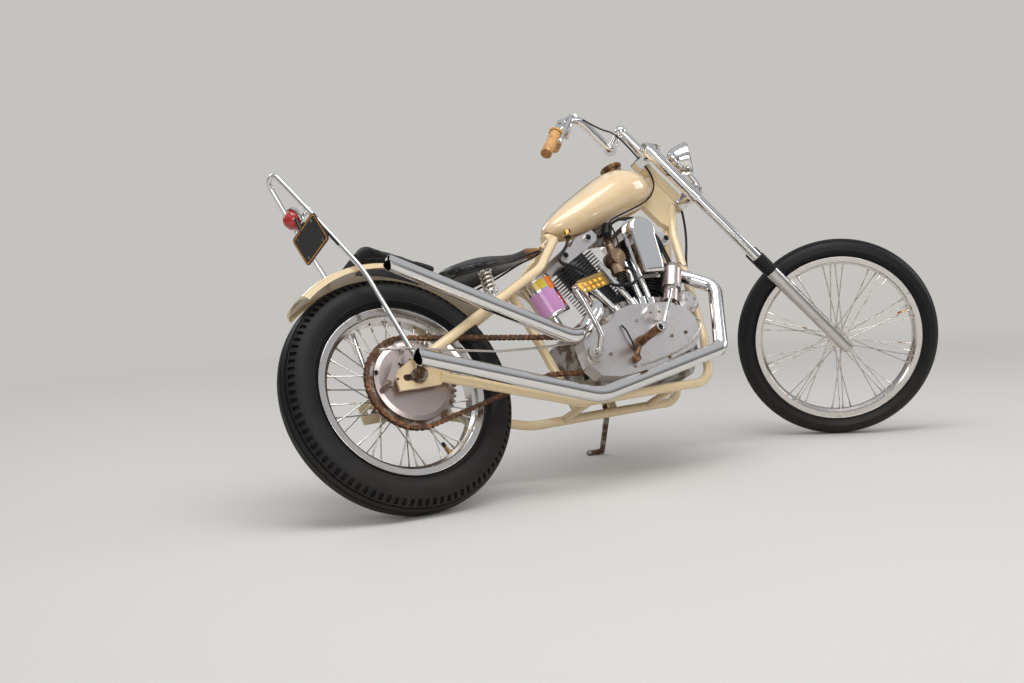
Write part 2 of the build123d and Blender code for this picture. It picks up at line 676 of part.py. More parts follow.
spring_foot = Vector(328, 90, 572)
spring_height = 74.0
spring_radius = 21.0
spring_post = rod(spring_foot, spring_foot + Vector(0, 0, spring_height + 30), 7)
seat_springs = spring_post + rod(spring_foot, spring_foot + Vector(0, 0, 4), spring_radius)
seat_springs += rod(spring_foot + Vector(0, 0, spring_height - 4), spring_foot + Vector(0, 0, spring_height),
                    spring_radius)
seat_springs += rod(spring_foot + Vector(0, 0, -14), spring_foot, 9)
seat_springs = pair(seat_springs) - seat_stay_right - seat_stay_left - seat


def on_fender(radius, angle):
    return (radius * cos(radians(angle)), rear_axle_height + radius * sin(radians(angle)))


fender_start, fender_end = 34.0, 129.5
lip_depth = 26.0
fender = revolve(
    Plane.YZ * profile([
        (-fender_half_width, fender_radius - lip_depth), (-fender_half_width, fender_radius - 16),
        ((-fender_half_width * 0.9, fender_radius - 8), (-fender_half_width * 0.78, fender_radius - 4)),
        ((0, fender_radius), (fender_half_width * 0.78, fender_radius - 4)),
        ((fender_half_width * 0.9, fender_radius - 8), (fender_half_width, fender_radius - 16)),
        (fender_half_width, fender_radius - lip_depth),
        (fender_half_width - fender_thickness, fender_radius - lip_depth),
        (fender_half_width - fender_thickness, fender_radius - 16 - fender_thickness),
        ((0, fender_radius - fender_thickness),
         (-fender_half_width + fender_thickness, fender_radius - 16 - fender_thickness)),
        (-fender_half_width + fender_thickness, fender_radius - lip_depth),
    ]), Axis.Y, fender_end - fender_start)
fender = rear_lift * fender.rotate(Axis.Y, 90 - fender_end)

pad_start, pad_end = 59.5, 97.5
pillion_pad = slab(profile([
    on_fender(fender_radius + 1, pad_start),
    (on_fender(fender_radius + 1, 78), on_fender(fender_radius + 1, pad_end)),
    on_fender(fender_radius + 24, pad_end),
    (on_fender(fender_radius + 43, 95), on_fender(fender_radius + 51, 90.5)),
    (on_fender(fender_radius + 28, 75.5), on_fender(fender_radius + 22, 61)),
]), -66, 66)
pillion_pad = fillet(pillion_pad.edges(), 8)

# Sissy bar, lamp and plate

sissy_points = [
    (6, -150, rear_axle_height + 22), (-52, -94, 668), (-142, -62, 862), (-208, -27, 1012), (-208, 27, 1012),
    (-142, 62, 862), (-52, 94, 668), (6, 150, rear_axle_height + 22),
]
sissy_bar = tube(sissy_points, [300, 300, 24, 24, 300, 300], 7.5)
eye = slab(stadium((2, rear_axle_height), (7, rear_axle_height + 38), 16, 10), -153, -147)
eye -= rod((0, -160, rear_axle_height), (0, -140, rear_axle_height), rear_axle_radius + seat_gap)
sissy_bar += pair(eye)
lamp_bracket = rod((-149, -62, 880), (-149, 62, 880), 6)
sissy_bar += lamp_bracket
lens_axis = Vector(-0.93, 0, -0.37).normalized()
lens_at = Vector(-162, 0, 884)
tail_light = lathe(lens_axis, lens_at, [
    (0, 0), (32, 0), (32, 10), (28, 12), ((21, 30), (6, 41)), (0, 41),
])
tail_light += rod(lens_at, lens_at - lens_axis * 6, 12)
tail_light = tail_light - sissy_bar
plate_width, plate_height = 140.0, 90.0
number_plate = Box(3, plate_width, plate_height)
number_plate = fillet(number_plate.edges().filter_by(Axis.X), 12)
number_plate += rod((1, 18, plate_height / 2 - 10), (14, 24, plate_height / 2 + 44), 5)
number_plate = Pos(-163, -55, 790) * Rot(-5, -15, 7) * number_plate
number_plate = number_plate - sissy_bar - tail_light

# Oil tank

can_axis = Vector(sin(radians(can_tilt)), 0, cos(radians(can_tilt)))
can_low = Vector(582, 0, 509)
can_high = can_low + can_axis * can_height
oil_tank = rod(can_low, can_high, can_radius)
oil_tank = fillet(oil_tank.edges().filter_by(GeomType.CIRCLE), 6)
oil_tank += rod(can_high, can_high + can_axis * 12, 20)
oil_tank += rod(can_low - can_axis * 26, can_low, 12)
oil_tank = oil_tank - crankcase

# Drive chain

roller_at = (441.0, 280.0)
roller_radius = 22.0


def chain_route():
    """Loop of straight runs and arcs: over the sprocket, under the engine sprocket, over the roller."""
    a, ra = (0.0, rear_axle_height), sprocket_radius
    b, rb = engine_sprocket_at, engine_sprocket_radius
    points = []

    def tangent(p, rp, q, rq, side_p, side_q):
        dx, dz = q[0] - p[0], q[1] - p[1]
        span = hypot(dx, dz)
        base = atan2(dz, dx)
        offset = side_p * rp - side_q * rq
        turn = acos(offset / span)
        first = base + turn
        start = (p[0] + side_p * rp * cos(first), p[1] + side_p * rp * sin(first))
        end = (q[0] + side_q * rq * cos(first), q[1] + side_q * rq * sin(first))
        return start, end

    top_a, top_b = tangent(a, ra, b, rb, 1, 1)
    low_b, on_roller_b = tangent(b, rb, roller_at, roller_radius + 5, 1, -1)
    on_roller_a, low_a = tangent(roller_at, roller_radius + 5, a, ra, -1, 1)

    def walk(centre, radius, start, end, turn):
        first = atan2(start[1] - centre[1], start[0] - centre[0])
        last = atan2(end[1] - centre[1], end[0] - centre[0])
        sweep_angle = (last - first) % (2 * pi) if turn > 0 else -((first - last) % (2 * pi))
        count = 40
        return [(centre[0] + radius * cos(first + sweep_angle * k / count),
                 centre[1] + radius * sin(first + sweep_angle * k / count)) for k in range(count + 1)]

    points += walk(b, rb, top_b, low_b, -1)
    points += walk(roller_at, roller_radius + 5, on_roller_b, on_roller_a, 1)
    points += walk(a, ra, low_a, top_a, -1)
    return points + [points[0]]


def joints_along(route):
    """Evenly spaced joint centres round the loop, as near the chain's pitch as a whole number allows."""
    lengths = [hypot(q[0] - p[0], q[1] - p[1]) for p, q in zip(route, route[1:])]
    total = sum(lengths)
    count = 2 * round(total / chain_pitch / 2)
    step = total / count
    joints, index, passed = [], 0, 0.0
    for number in range(count):
        goal = number * step
        while passed + lengths[index] < goal:
            passed += lengths[index]
            index += 1
        share = (goal - passed) / lengths[index]
        p, q = route[index], route[index + 1]
        joints.append((p[0] + (q[0] - p[0]) * share, p[1] + (q[1] - p[1]) * share))
    return joints


def link(p, q, high, overlap, near, far):
    """One link: a flat bar along two joints, running a little past them."""
    dx, dz = (q[0] - p[0]), (q[1] - p[1])
    span = hypot(dx, dz)
    ux, uz = dx / span, dz / span
    outline = []
    for along, up in ((-overlap, -0.5), (span + overlap, -0.5), (span + overlap, 0.5), (-overlap, 0.5)):
        outline.append((p[0] + ux * along - uz * up * high, p[1] + uz * along + ux * up * high))
    return slab(profile(outline), near, far)


joints = joints_along(chain_route())
roller_half, plate_half, channel_half = 6.0, 8.0, 4.2
links = []
for number, here in enumerate(joints):
    there = joints[(number + 1) % len(joints)]
    if number % 2:
        links.append(link(here, there, 13.5, 5, -chain_line - plate_half, -chain_line + plate_half))
    else:
        links.append(link(here, there, 10.5, 3, -chain_line - roller_half, -chain_line + roller_half))
chain = links[0].fuse(*links[1:])
for centre, reach in (((0, rear_axle_height), sprocket_radius), (engine_sprocket_at, engine_sprocket_radius)):
    chain -= rod((centre[0], -chain_line - channel_half, centre[1]),
                 (centre[0], -chain_line + channel_half, centre[1]),
                 reach + 9)
tensioner = rod((roller_at[0], -chain_line - 9, roller_at[1]), (roller_at[0], -chain_line + 9, roller_at[1]),
                roller_radius - 3)
tensioner += rod((roller_at[0], -chain_line + 9, roller_at[1]),
                 (roller_at[0], -chain_line + 30, roller_at[1]), 8)
tensioner += rod((roller_at[0], -chain_line + 24, roller_at[1]), (472, -chain_line + 24, 236), 7)
tensioner = tensioner - chain_stay_right - frame_lower_rails

# Brake and axle

plate_near, plate_far = -106.0, -96.0
brake_plate = turned([
    (plate_near + 4, rear_axle_radius + seat_gap), (plate_near, 30), (plate_near + 2, 100),
    (plate_near + 6, 112),
    (plate_far, 112), (plate_far, rear_axle_radius + seat_gap),
])
brake_plate = rear_lift * brake_plate
cam_at, lever_tip = (-98.0, rear_axle_height - 18), (-38.0, rear_axle_height + 70)
brake_plate += rod((cam_at[0], plate_near - 44, cam_at[1]), (cam_at[0], plate_near + 4, cam_at[1]), 9)
brake_plate += slab(stadium(cam_at, lever_tip, 9.5, 7), plate_near - 44, plate_near - 38)
rear_axle = rod((0, -166, rear_axle_height), (0, 156, rear_axle_height), rear_axle_radius)
for side in (-1, 1):
    rear_axle += rod((0, side * (stay_axle_spacing + 5), rear_axle_height),
                     (0, side * 146, rear_axle_height), 15)
    rear_axle += rod((0, side * 153.4, rear_axle_height), (0, side * 163, rear_axle_height), 14)
rear_axle += rod((0, -plate_near, rear_axle_height), (0, 63, rear_axle_height), 16)
rear_axle += rod((0, plate_near - seat_gap, rear_axle_height),
                 (0, -stay_axle_spacing + 4 + seat_gap, rear_axle_height), 14)
brake_rod = tube([
    (lever_tip[0] - 67, -160, lever_tip[1] + 6), (lever_tip[0] + 3, -160, lever_tip[1] + 2), (250, -150, 372),
    (400, -138, 374), (560, -128, 381),
], [40, 500, 400], 3.5)
brake_rod += rod((lever_tip[0], plate_near - 44 - seat_gap, lever_tip[1]),
                 (lever_tip[0], -164, lever_tip[1]), 5)
brake_rod = brake_rod - gearcase_cover

# Controls

kick_hub = (566.0, 328.0)
kick_side = -213.0
kick_starter = rod((kick_hub[0], cover_right - 40, kick_hub[1]),
                   (kick_hub[0], cover_right - 16.5, kick_hub[1]), 14)
kick_route = [
    (kick_hub[0], cover_right - 30, kick_hub[1]), (562, kick_side, 362), (558, kick_side, 400),
    (540, kick_side, 478),
    (528, kick_side, 512),
]
for start, end in zip(kick_route, kick_route[1:]):
    kick_starter += rod(start, end, 9) + Pos(*end) * Sphere(9)
pedal_along = Vector(40, -78, -8).normalized()
pedal_wide = Vector(0.83, 0, -0.555)
pedal_face = pedal_along.cross(pedal_wide).normalized()
pedal_foot = Vector(*kick_route[-1])
pedal_length, pedal_width, pedal_depth = 84.0, 40.0, 15.0
pedal = Plane(origin=pedal_foot + pedal_along * (16 + pedal_length / 2), x_dir=pedal_along, z_dir=pedal_face)
kick_starter += rod(pedal_foot, pedal_foot + pedal_along * 20, 8)
kick_pedal = Box(pedal_length, pedal_width, pedal_depth)
for row in (-1, 1):
    for column in range(5):
        kick_pedal -= Pos((column - 2) * 15.6, row * 9.4, 0) * Box(11.6, 11.6, pedal_depth + 2)
kick_starter += pedal * kick_pedal

peg_at, peg_root = (745.0, 354.0), (708.0, 303.0)
peg_radius = 12.5
foot_pegs = rod((peg_at[0], cover_right - seat_gap, peg_at[1]), (peg_at[0], cover_right - 112, peg_at[1]),
                peg_radius)
foot_pegs += rod((peg_at[0], cover_right - seat_gap, peg_at[1]), (peg_at[0], cover_right - 18, peg_at[1]), 15)
foot_pegs += rod((peg_root[0], cover_right - seat_gap, peg_root[1]),
                 (peg_root[0], cover_right - 16, peg_root[1]), 12)
foot_pegs += rod((peg_root[0], cover_right - 8, peg_root[1]), (peg_at[0], cover_right - 8, peg_at[1]), 7)
foot_pegs += rod((peg_at[0], case_left + 62 + seat_gap, peg_at[1]), (peg_at[0], case_left + 150, peg_at[1]),
                 peg_radius)

shift_shaft = (832.0, 388.0)
shift_points = [
    # x, side beyond the cover, height
    (832, -28, 388), (858, -34, 430), (880, -44, 468), (888, -58, 497),
]
shift_lever = rod((shift_shaft[0], cover_right - 22 - seat_gap, shift_shaft[1]),
                  (shift_shaft[0], cover_right - 36, shift_shaft[1]), 12)
for start, end in zip(shift_points, shift_points[1:]):
    start = (start[0], cover_right + start[1], start[2])
    end = (end[0], cover_right + end[1], end[2])
    shift_lever += rod(start, end, 5.5) + Pos(*end) * Sphere(5.5)
shift_lever += rod((888, cover_right - 46, 497), (888, cover_right - 84, 497), 6.5)

# Fuel hose from the tap under the tank to the carburettor, ignition coil and its two leads

tap_low = (700.0, -40.0, 762.0)
fuel_hose = tube([
    tap_low, (640, -92, 706), (578, -96, 654), (642, -104, 630), (700, -106, 582), (758, -126, 548),
    (826, -130, 552),
    (838, -122, 600), (814, -112, 616),
], [80, 20, 100, 100, 60, 28, 16], 5)
fuel_hose += rod((tap_low[0] - 1, tap_low[1], tap_low[2] - 2), (710, -36, 792), 9)
fuel_hose = fuel_hose - tank - carburettor
coil_low, coil_high = Vector(850, -40, 764), Vector(866, -40, 798)
ignition_leads = rod(coil_low, coil_high, 16) + rod((860, -30, 781), (860, -4 - seat_gap, 781), 6)
ignition_leads += tube([
    (866, -46, 794), (893, -62, 806), (950, -94, 784), (994, -98, 706), (1000, -104, 618),
], [30, 60, 100], 3.5)
ignition_leads += tube([
    (868, -34, 792), (905, -54, 813), (966, -88, 798), (1008, -92, 716), (1010, -104, 622),
], [30, 60, 100], 3.5)
ignition_leads = ignition_leads - magneto

# Standing on the ground: lean to the left, then pitch until both tyres touch it


def turn_about(vector, axis, angle):
    """Vector turned about a unit axis through the origin, angle in radians."""
    along = axis * vector.dot(axis)
    return along + (vector - along) * cos(angle) + axis.cross(vector) * sin(angle)


def tyre_low(centre, axle, radius, crown):
    return centre.Z - (radius - crown) * sqrt(1 - axle.Z ** 2) - crown


steer_turn = -radians(steer_angle)
front_hub_at = steer_foot + turn_about(front_axle - steer_foot, steer_up, steer_turn)
front_axle_dir = turn_about(Vector(0, 1, 0), steer_up, steer_turn)
rear_hub_at = Vector(0, 0, rear_axle_height)
x_axis, y_axis = Vector(1, 0, 0), Vector(0, 1, 0)
pitch = 0.0


def standing(vector):
    return turn_about(turn_about(vector, x_axis, -radians(lean_angle)), y_axis, pitch)


def upright(vector):
    return turn_about(turn_about(vector, y_axis, -pitch), x_axis, radians(lean_angle))


for attempt in range(40):
    rear_low = tyre_low(standing(rear_hub_at), standing(y_axis), rear_tyre_radius, rear_crown_radius)
    front_low = tyre_low(standing(front_hub_at), standing(front_axle_dir), front_tyre_radius,
                         front_crown_radius)
    pitch += (front_low - rear_low) / (standing(front_hub_at).X - standing(rear_hub_at).X)
ground = rear_low

# Side stand, a leg with its toe bent back

pivot = Vector(*stand_pivot)
foot_stood = standing(Vector(*stand_foot))
foot_stood = Vector(foot_stood.X, foot_stood.Y, ground + stand_leg_radius)
foot = upright(foot_stood)
toe = upright(foot_stood + Vector(-toe_length, 6, 0))
leg_along = (foot - pivot).normalized()
folded_along = Vector(-0.975, 0.215, 0.06).normalized()
stand_axis_dir = leg_along.cross(folded_along).normalized()
side_stand = rod(pivot + leg_along * 2, foot, stand_leg_radius) + Pos(*foot) * Sphere(stand_leg_radius)
side_stand += rod(foot, toe, stand_leg_radius) + Pos(*toe) * Sphere(stand_leg_radius)
hub_half = 11.0
pin_radius = 6.0
side_stand += rod(pivot - stand_axis_dir * hub_half, pivot + stand_axis_dir * hub_half, 14)
side_stand -= rod(pivot - stand_axis_dir * 20, pivot + stand_axis_dir * 20, pin_radius + bearing_gap)
stand_bracket = Pos(pivot.X, 94, pivot.Z - 1) * Box(26, 12, 42)
for end in (-1, 1):
    cheek = pivot + stand_axis_dir * end * (hub_half + 1)
    thick = stand_axis_dir * end * 7
    stand_bracket += rod(cheek, cheek + thick, 14)
    cheek_plane = Plane(origin=cheek, x_dir=(1, 0, 0), z_dir=stand_axis_dir)
    bar = cheek_plane * profile([(-13, -24), (13, -24), (13, 0), (-13, 0)])
    stand_bracket += extrude(bar, amount=7, dir=stand_axis_dir * end)
stand_bracket += rod(pivot - stand_axis_dir * 20, pivot + stand_axis_dir * 20, pin_radius)
frame_lower_rails = frame_lower_rails + stand_bracket

# Node table: name, solid, body

fork_nodes = {
    "fork_tubes": fork_tubes, "fork_sliders": fork_sliders, "fork_seals": fork_seals,
    "triple_trees": triple_trees, "handlebar": handlebar, "grips": grips, "headlight": headlight,
}
front_wheel_nodes = {"front_tyre": front_tyre, "front_rim": front_rim, "front_hub_spokes": front_hub}
frame_nodes = {
    "frame_neck": frame_neck, "frame_downtubes": frame_downtubes, "frame_lower_rails": frame_lower_rails,
    "frame_seat_post": frame_seat_post, "chain_stay_right": chain_stay_right,
    "chain_stay_left": chain_stay_left,
    "seat_stay_right": seat_stay_right, "seat_stay_left": seat_stay_left, "crankcase": crankcase,
    "gearcase_cover": gearcase_cover, "primary_cover": primary_cover, "cylinders": cylinders,
    "rocker_boxes": rocker_boxes, "pushrod_tubes": pushrod_tubes, "magneto": magneto, "generator": generator,
    "carburettor": carburettor, "air_cover": air_cover, "engine_mount": engine_mount,
    "exhaust_front": exhaust_front, "exhaust_rear": exhaust_rear, "fuel_tank": tank, "tank_cap": tank_cap,
    "seat": seat, "seat_springs": seat_springs, "fender": fender, "pillion_pad": pillion_pad,
    "sissy_bar": sissy_bar, "tail_light": tail_light, "number_plate": number_plate, "oil_tank": oil_tank,
    "chain": chain, "chain_tensioner": tensioner, "brake_plate": brake_plate, "rear_axle": rear_axle,
    "brake_rod": brake_rod, "kick_starter": kick_starter, "foot_pegs": foot_pegs, "shift_lever": shift_lever,
    "fuel_hose": fuel_hose, "ignition_leads": ignition_leads,
}
rear_wheel_nodes = {
    "rear_tyre": rear_tyre, "rear_rim": rear_rim, "rear_hub_spokes": rear_hub,
    "rear_drum_sprocket": rear_drum,
}
stand_nodes = {"side_stand": side_stand}

def stand_up(shape):
    shape = shape.rotate(Axis.X, -lean_angle).rotate(Axis.Y, degrees(pitch))
    return Pos(0, 0, -ground) * shape


def steered(shape):
    return shape.rotate(steering_axis, -steer_angle)


placed = {}
for table, turned_with_fork in (
    (frame_nodes, False), (rear_wheel_nodes, False), (stand_nodes, False), (fork_nodes, True),
    (front_wheel_nodes, True),
):
    for name, shape in table.items():
        placed[name] = stand_up(steered(shape) if turned_with_fork else shape)

boxes = [shape.bounding_box() for shape in placed.values()]
centre_x = (min(b.min.X for b in boxes) + max(b.max.X for b in boxes)) / 2
centre_y = (min(b.min.Y for b in boxes) + max(b.max.Y for b in boxes)) / 2
for name, shape in placed.items():
    export_step(Pos(-centre_x, -centre_y, 0) * shape, "parts/" + name + ".step")


def final(vector):
    return standing(vector) + Vector(-centre_x, -centre_y, -ground)


print("foot of the stand above ground", round(standing(foot).Z - ground - stand_leg_radius, 3))
print("toe above ground", round(standing(toe).Z - ground - stand_leg_radius, 3))
for label, point, direction in (
    ("rear axle", rear_hub_at, y_axis), ("front axle", front_hub_at, front_axle_dir),
    ("steering", steer_foot, steer_up), ("stand", pivot, stand_axis_dir),
):
    where, along = final(point), standing(direction)
    print(label, [round(v, 4) for v in where], [round(v, 7) for v in along])
print("shift", round(centre_x, 4), round(centre_y, 4), round(ground, 4), "pitch", round(degrees(pitch), 5))
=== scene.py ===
# %% [markdown]
# # A rigid-frame chopper, dressed over its CAD frame
# The metal is already there: every tube, casting and wheel comes in from the CAD model at its real
# size. This lesson gives each of those pieces its finish, and adds what a CAD solid leaves out:
# tread, padding, coils, screws, a lamp glass. Nothing that came from the CAD model is moved.

# %% Load the machine
import json
from math import acos, atan2, cos, hypot, pi, radians, sin

import bmesh
import bpy
from mathutils import Euler, Matrix, Vector

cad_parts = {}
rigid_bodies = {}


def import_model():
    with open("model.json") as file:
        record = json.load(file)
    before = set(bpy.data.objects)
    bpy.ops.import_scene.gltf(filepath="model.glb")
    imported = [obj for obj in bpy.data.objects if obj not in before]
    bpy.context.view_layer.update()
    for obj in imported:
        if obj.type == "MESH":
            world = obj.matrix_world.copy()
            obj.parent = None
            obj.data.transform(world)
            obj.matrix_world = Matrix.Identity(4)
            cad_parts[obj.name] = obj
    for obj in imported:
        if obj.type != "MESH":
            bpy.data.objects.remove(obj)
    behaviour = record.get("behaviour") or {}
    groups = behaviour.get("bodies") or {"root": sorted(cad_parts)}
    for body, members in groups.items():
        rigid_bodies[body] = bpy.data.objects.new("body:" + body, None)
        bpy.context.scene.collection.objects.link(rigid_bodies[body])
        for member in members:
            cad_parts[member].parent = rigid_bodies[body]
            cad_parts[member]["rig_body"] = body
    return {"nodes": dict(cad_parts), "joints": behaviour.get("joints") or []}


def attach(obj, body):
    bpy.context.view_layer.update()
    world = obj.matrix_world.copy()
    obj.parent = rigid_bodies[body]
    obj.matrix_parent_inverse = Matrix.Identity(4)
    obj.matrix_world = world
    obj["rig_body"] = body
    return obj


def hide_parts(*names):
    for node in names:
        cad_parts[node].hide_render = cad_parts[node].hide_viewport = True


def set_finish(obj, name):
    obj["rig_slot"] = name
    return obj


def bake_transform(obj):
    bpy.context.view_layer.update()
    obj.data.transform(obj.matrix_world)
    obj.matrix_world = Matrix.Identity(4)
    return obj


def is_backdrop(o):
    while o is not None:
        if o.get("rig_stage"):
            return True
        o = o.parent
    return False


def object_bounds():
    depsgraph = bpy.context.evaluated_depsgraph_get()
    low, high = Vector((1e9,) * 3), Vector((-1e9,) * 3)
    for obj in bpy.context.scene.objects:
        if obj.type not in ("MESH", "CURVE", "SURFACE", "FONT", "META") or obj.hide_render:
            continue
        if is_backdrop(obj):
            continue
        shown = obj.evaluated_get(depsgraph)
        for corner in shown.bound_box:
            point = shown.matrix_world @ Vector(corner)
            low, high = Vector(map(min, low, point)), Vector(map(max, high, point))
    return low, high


for old in list(bpy.data.objects):
    bpy.data.objects.remove(old)
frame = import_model()
cad_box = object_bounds()
print("nodes:", len(frame["nodes"]), "size:", [round(b - a, 3) for a, b in zip(*cad_box)])

# %% [markdown]
# ## Two ways of pointing at the machine
# The motorcycle leans on its stand with the front end turned, so its own "up" isn't the world's.
# Measuring every bolt in leaning coordinates would be painful. Instead two matrices are worked out
# from the joints: `bike` carries a point of the upright machine to where it stands, and `fork` does
# the same for whatever turns with the handlebar. All sizes below are then plain upright ones.

# %% The upright machine and its turned front end
rake = radians(35.5)
wheelbase = 1.693
rear_axle_height = 0.334
front_axle_height = 0.339
fork_offset = 0.055
steer_up = Vector((-sin(rake), 0, cos(rake)))
steer_forward = Vector((cos(rake), 0, sin(rake)))
steer_foot = Vector((wheelbase, 0, front_axle_height)) - steer_forward * fork_offset
joints = {j["name"]: (Vector(j["pos_m"]), Vector(j["axis"]).normalized()) for j in frame["joints"]}


def carried(left_to, up_to, point_from, point_to):
    """Matrix that takes left, the steering axis and one point to where they are on the machine."""
    left = Vector((0, 1, 0))
    before = Matrix([left, steer_up, left.cross(steer_up)])
    after = Matrix([left_to, up_to, left_to.cross(up_to)])
    turn = (after.transposed() @ before).to_4x4()
    return Matrix.Translation(point_to) @ turn @ Matrix.Translation(-point_from)


bike = carried(joints["rear_wheel_spin"][1], joints["steering"][1], Vector((0, 0, rear_axle_height)),
               joints["rear_wheel_spin"][0])
fork = carried(joints["front_wheel_spin"][1], joints["steering"][1], steer_foot, joints["steering"][0])
rear_wheel = bike @ Matrix.Translation((0, 0, rear_axle_height))
front_wheel = fork @ Matrix.Translation((wheelbase, 0, front_axle_height))
axle_error = (front_wheel.translation - joints["front_wheel_spin"][0]).length
print("front axle error in mm:", round(axle_error * 1000, 3))


def on_fork(forward, side, up):
    """Point of the front end: ahead of the steering axis, to the left, and up along it."""
    return steer_foot + steer_forward * forward + steer_up * up + Vector((0, side, 0))


# %% [markdown]
# ## Camera
# The viewpoint was worked out from the wheels: two circles of known size fix where the lens was.
# It stood low, behind and to the right, with a short telephoto look of about 42 mm. It is placed
# through `bike` too, so it keeps its view of the machine wherever the machine stands.

# %% Camera
eye = bpy.data.cameras.new("eye")
eye.lens = 42.4
eye.sensor_width = 36.0
camera = bpy.data.objects.new("camera", eye)
camera.matrix_world = bike @ Matrix.LocRotScale(
    Vector((-1.4922, -2.8048, -0.5890)), Euler((radians(107.850), radians(16.522), radians(-28.886))), None)
bpy.context.scene.collection.objects.link(camera)
bpy.context.scene.camera = camera
print("camera height:", round(camera.matrix_world.translation.z, 3))

# %% [markdown]
# ## Wiring shader nodes
# Every look below is a small graph of nodes. It could be wired node by node and link by link, but
# that hides the idea in typing. A few helpers keep it readable: `material` starts one, `wire` adds
# a node with its settings and what feeds it, and `mixed` and `reckon` mix and calculate.

# %% Helpers for shader nodes
def material(name, **values):
    """New material, its node tree and its main shader, with values for that shader's inputs."""
    made = bpy.data.materials.new(name)
    made.use_nodes = True
    shader = made.node_tree.nodes["Principled BSDF"]
    for label, value in values.items():
        shader.inputs[label.replace("_", " ")].default_value = value
    return made, made.node_tree, shader


def wire(tree, kind, feeds=(), **named):
    """Adds a shader node. Lower case names are settings, the others inputs: a value or a socket."""
    node = tree.nodes.new("ShaderNode" + kind)
    listed = feeds.items() if isinstance(feeds, dict) else enumerate(feeds)
    for label, value in [*named.items(), *listed]:
        if isinstance(label, str) and label.islower():
            setattr(node, label, value)
            continue
        socket = node.inputs[label.replace("_", " ") if isinstance(label, str) else label]
        if hasattr(value, "is_linked"):
            tree.links.new(value, socket)
        else:
            socket.default_value = value
    return node


def own_place(tree):
    """Socket with the Object coordinates."""
    return wire(tree, "TexCoord").outputs["Object"]


def mixed(tree, kind, factor, first, second):
    """Socket with two colours (RGBA) or two numbers (FLOAT) mixed by a factor."""
    a, b, out = {"RGBA": (6, 7, 2), "FLOAT": (2, 3, 0)}[kind]
    return wire(tree, "Mix", {0: factor, a: first, b: second}, data_type=kind).outputs[out]


def reckon(tree, operation, *values):
    """Socket with the result of a Math node."""
    return wire(tree, "Math", values, operation=operation).outputs[0]


print("helpers:", wire.__name__, mixed.__name__, reckon.__name__)

# %% [markdown]
# ## Studio
# Chrome has no colour of its own: it shows the room. A bare white room makes it look like plastic,
# so soft boxes and a darker band at the horizon give the tubes their bright streak and dark line,
# while the floor stays pale and keeps a soft shadow. Far off, the floor melts into the backdrop.

# %% Floor, lights and surroundings
scene = bpy.context.scene
scene.view_settings.view_transform = "Standard"
backdrop = (0.56, 0.545, 0.52, 1)
floor_radius = 30.0
haze_from, haze_to = 1.6, 5.5

floor_mesh = bmesh.new()
bmesh.ops.create_circle(floor_mesh, cap_ends=True, segments=96, radius=floor_radius)
floor_data = bpy.data.meshes.new("floor")
floor_mesh.to_mesh(floor_data)
floor_mesh.free()
floor = bpy.data.objects.new("floor", floor_data)
scene.collection.objects.link(floor)
floor_paint, tree, shader = material("floor_paint", Base_Color=(0.62, 0.60, 0.57, 1), Roughness=0.85)
far = wire(tree, "VectorMath", [own_place(tree)], operation="LENGTH")
melt = wire(tree, "MapRange", Value=far.outputs["Value"], From_Min=haze_from, From_Max=haze_to,
            interpolation_type="SMOOTHSTEP")
haze = wire(tree, "Emission", Color=backdrop)
blend_in = wire(tree, "MixShader", [melt.outputs[0], shader.outputs[0], haze.outputs[0]])
tree.links.new(blend_in.outputs[0], tree.nodes["Material Output"].inputs["Surface"])
floor_data.materials.append(floor_paint)
floor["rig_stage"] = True

lamps = [
    # name, place, point aimed at, width, height, watts
    ("top_box", (-0.6, -1.0, 4.2), (0, 0, 0.4), 4.0, 2.4, 112),
    ("right_box", (-1.8, -4.6, 2.0), (0.1, 0, 0.5), 3.2, 1.6, 66),
    ("front_box", (4.4, -1.6, 2.2), (0.3, 0, 0.5), 1.6, 2.2, 36),
    ("far_box", (-1.0, 4.4, 2.6), (0, 0, 0.5), 3.0, 1.4, 34),
]
for name, place, aim, width, height, watts in lamps:
    lamp = bpy.data.lights.new(name, "AREA")
    lamp.shape = "RECTANGLE"
    lamp.size, lamp.size_y, lamp.energy = width, height, watts
    holder = bpy.data.objects.new(name, lamp)
    holder.location = place
    holder.rotation_euler = (Vector(aim) - Vector(place)).to_track_quat("-Z", "Y").to_euler()
    scene.collection.objects.link(holder)

world = bpy.data.worlds.new("room")
scene.world = world
world.use_nodes = True
room = world.node_tree
room.nodes.clear()
ways = wire(room, "SeparateXYZ", [wire(room, "TexCoord").outputs["Generated"]])
lift = wire(room, "MapRange", Value=ways.outputs["Z"], From_Min=-1.0)
ramp = wire(room, "ValToRGB", [lift.outputs[0]])
ground, sky = ramp.color_ramp.elements
ground.position, ground.color = 0.47, (0.50, 0.46, 0.42, 1)
sky.position, sky.color = 0.80, (0.82, 0.84, 0.88, 1)
band = ramp.color_ramp.elements.new(0.56)
band.color = (0.20, 0.19, 0.19, 1)
light = wire(room, "Background", Color=ramp.outputs["Color"], Strength=0.62)
seen = wire(room, "Background", Color=backdrop)
camera_ray = wire(room, "LightPath").outputs["Is Camera Ray"]
both = wire(room, "MixShader", [camera_ray, light.outputs[0], seen.outputs[0]])
wire(room, "OutputWorld", Surface=both.outputs[0])

# %% [markdown]
# ## Finishes
# An old machine is never one even colour. Three effects recur, so each is a node group built once:
# `blotches` gives a soft mask for rust, dirt or tarnish, `road_dust` one that is strongest near the
# ground, and `grain` a height for the bump. They read Object coordinates, so they stay put on
# every piece and need no unwrapping.

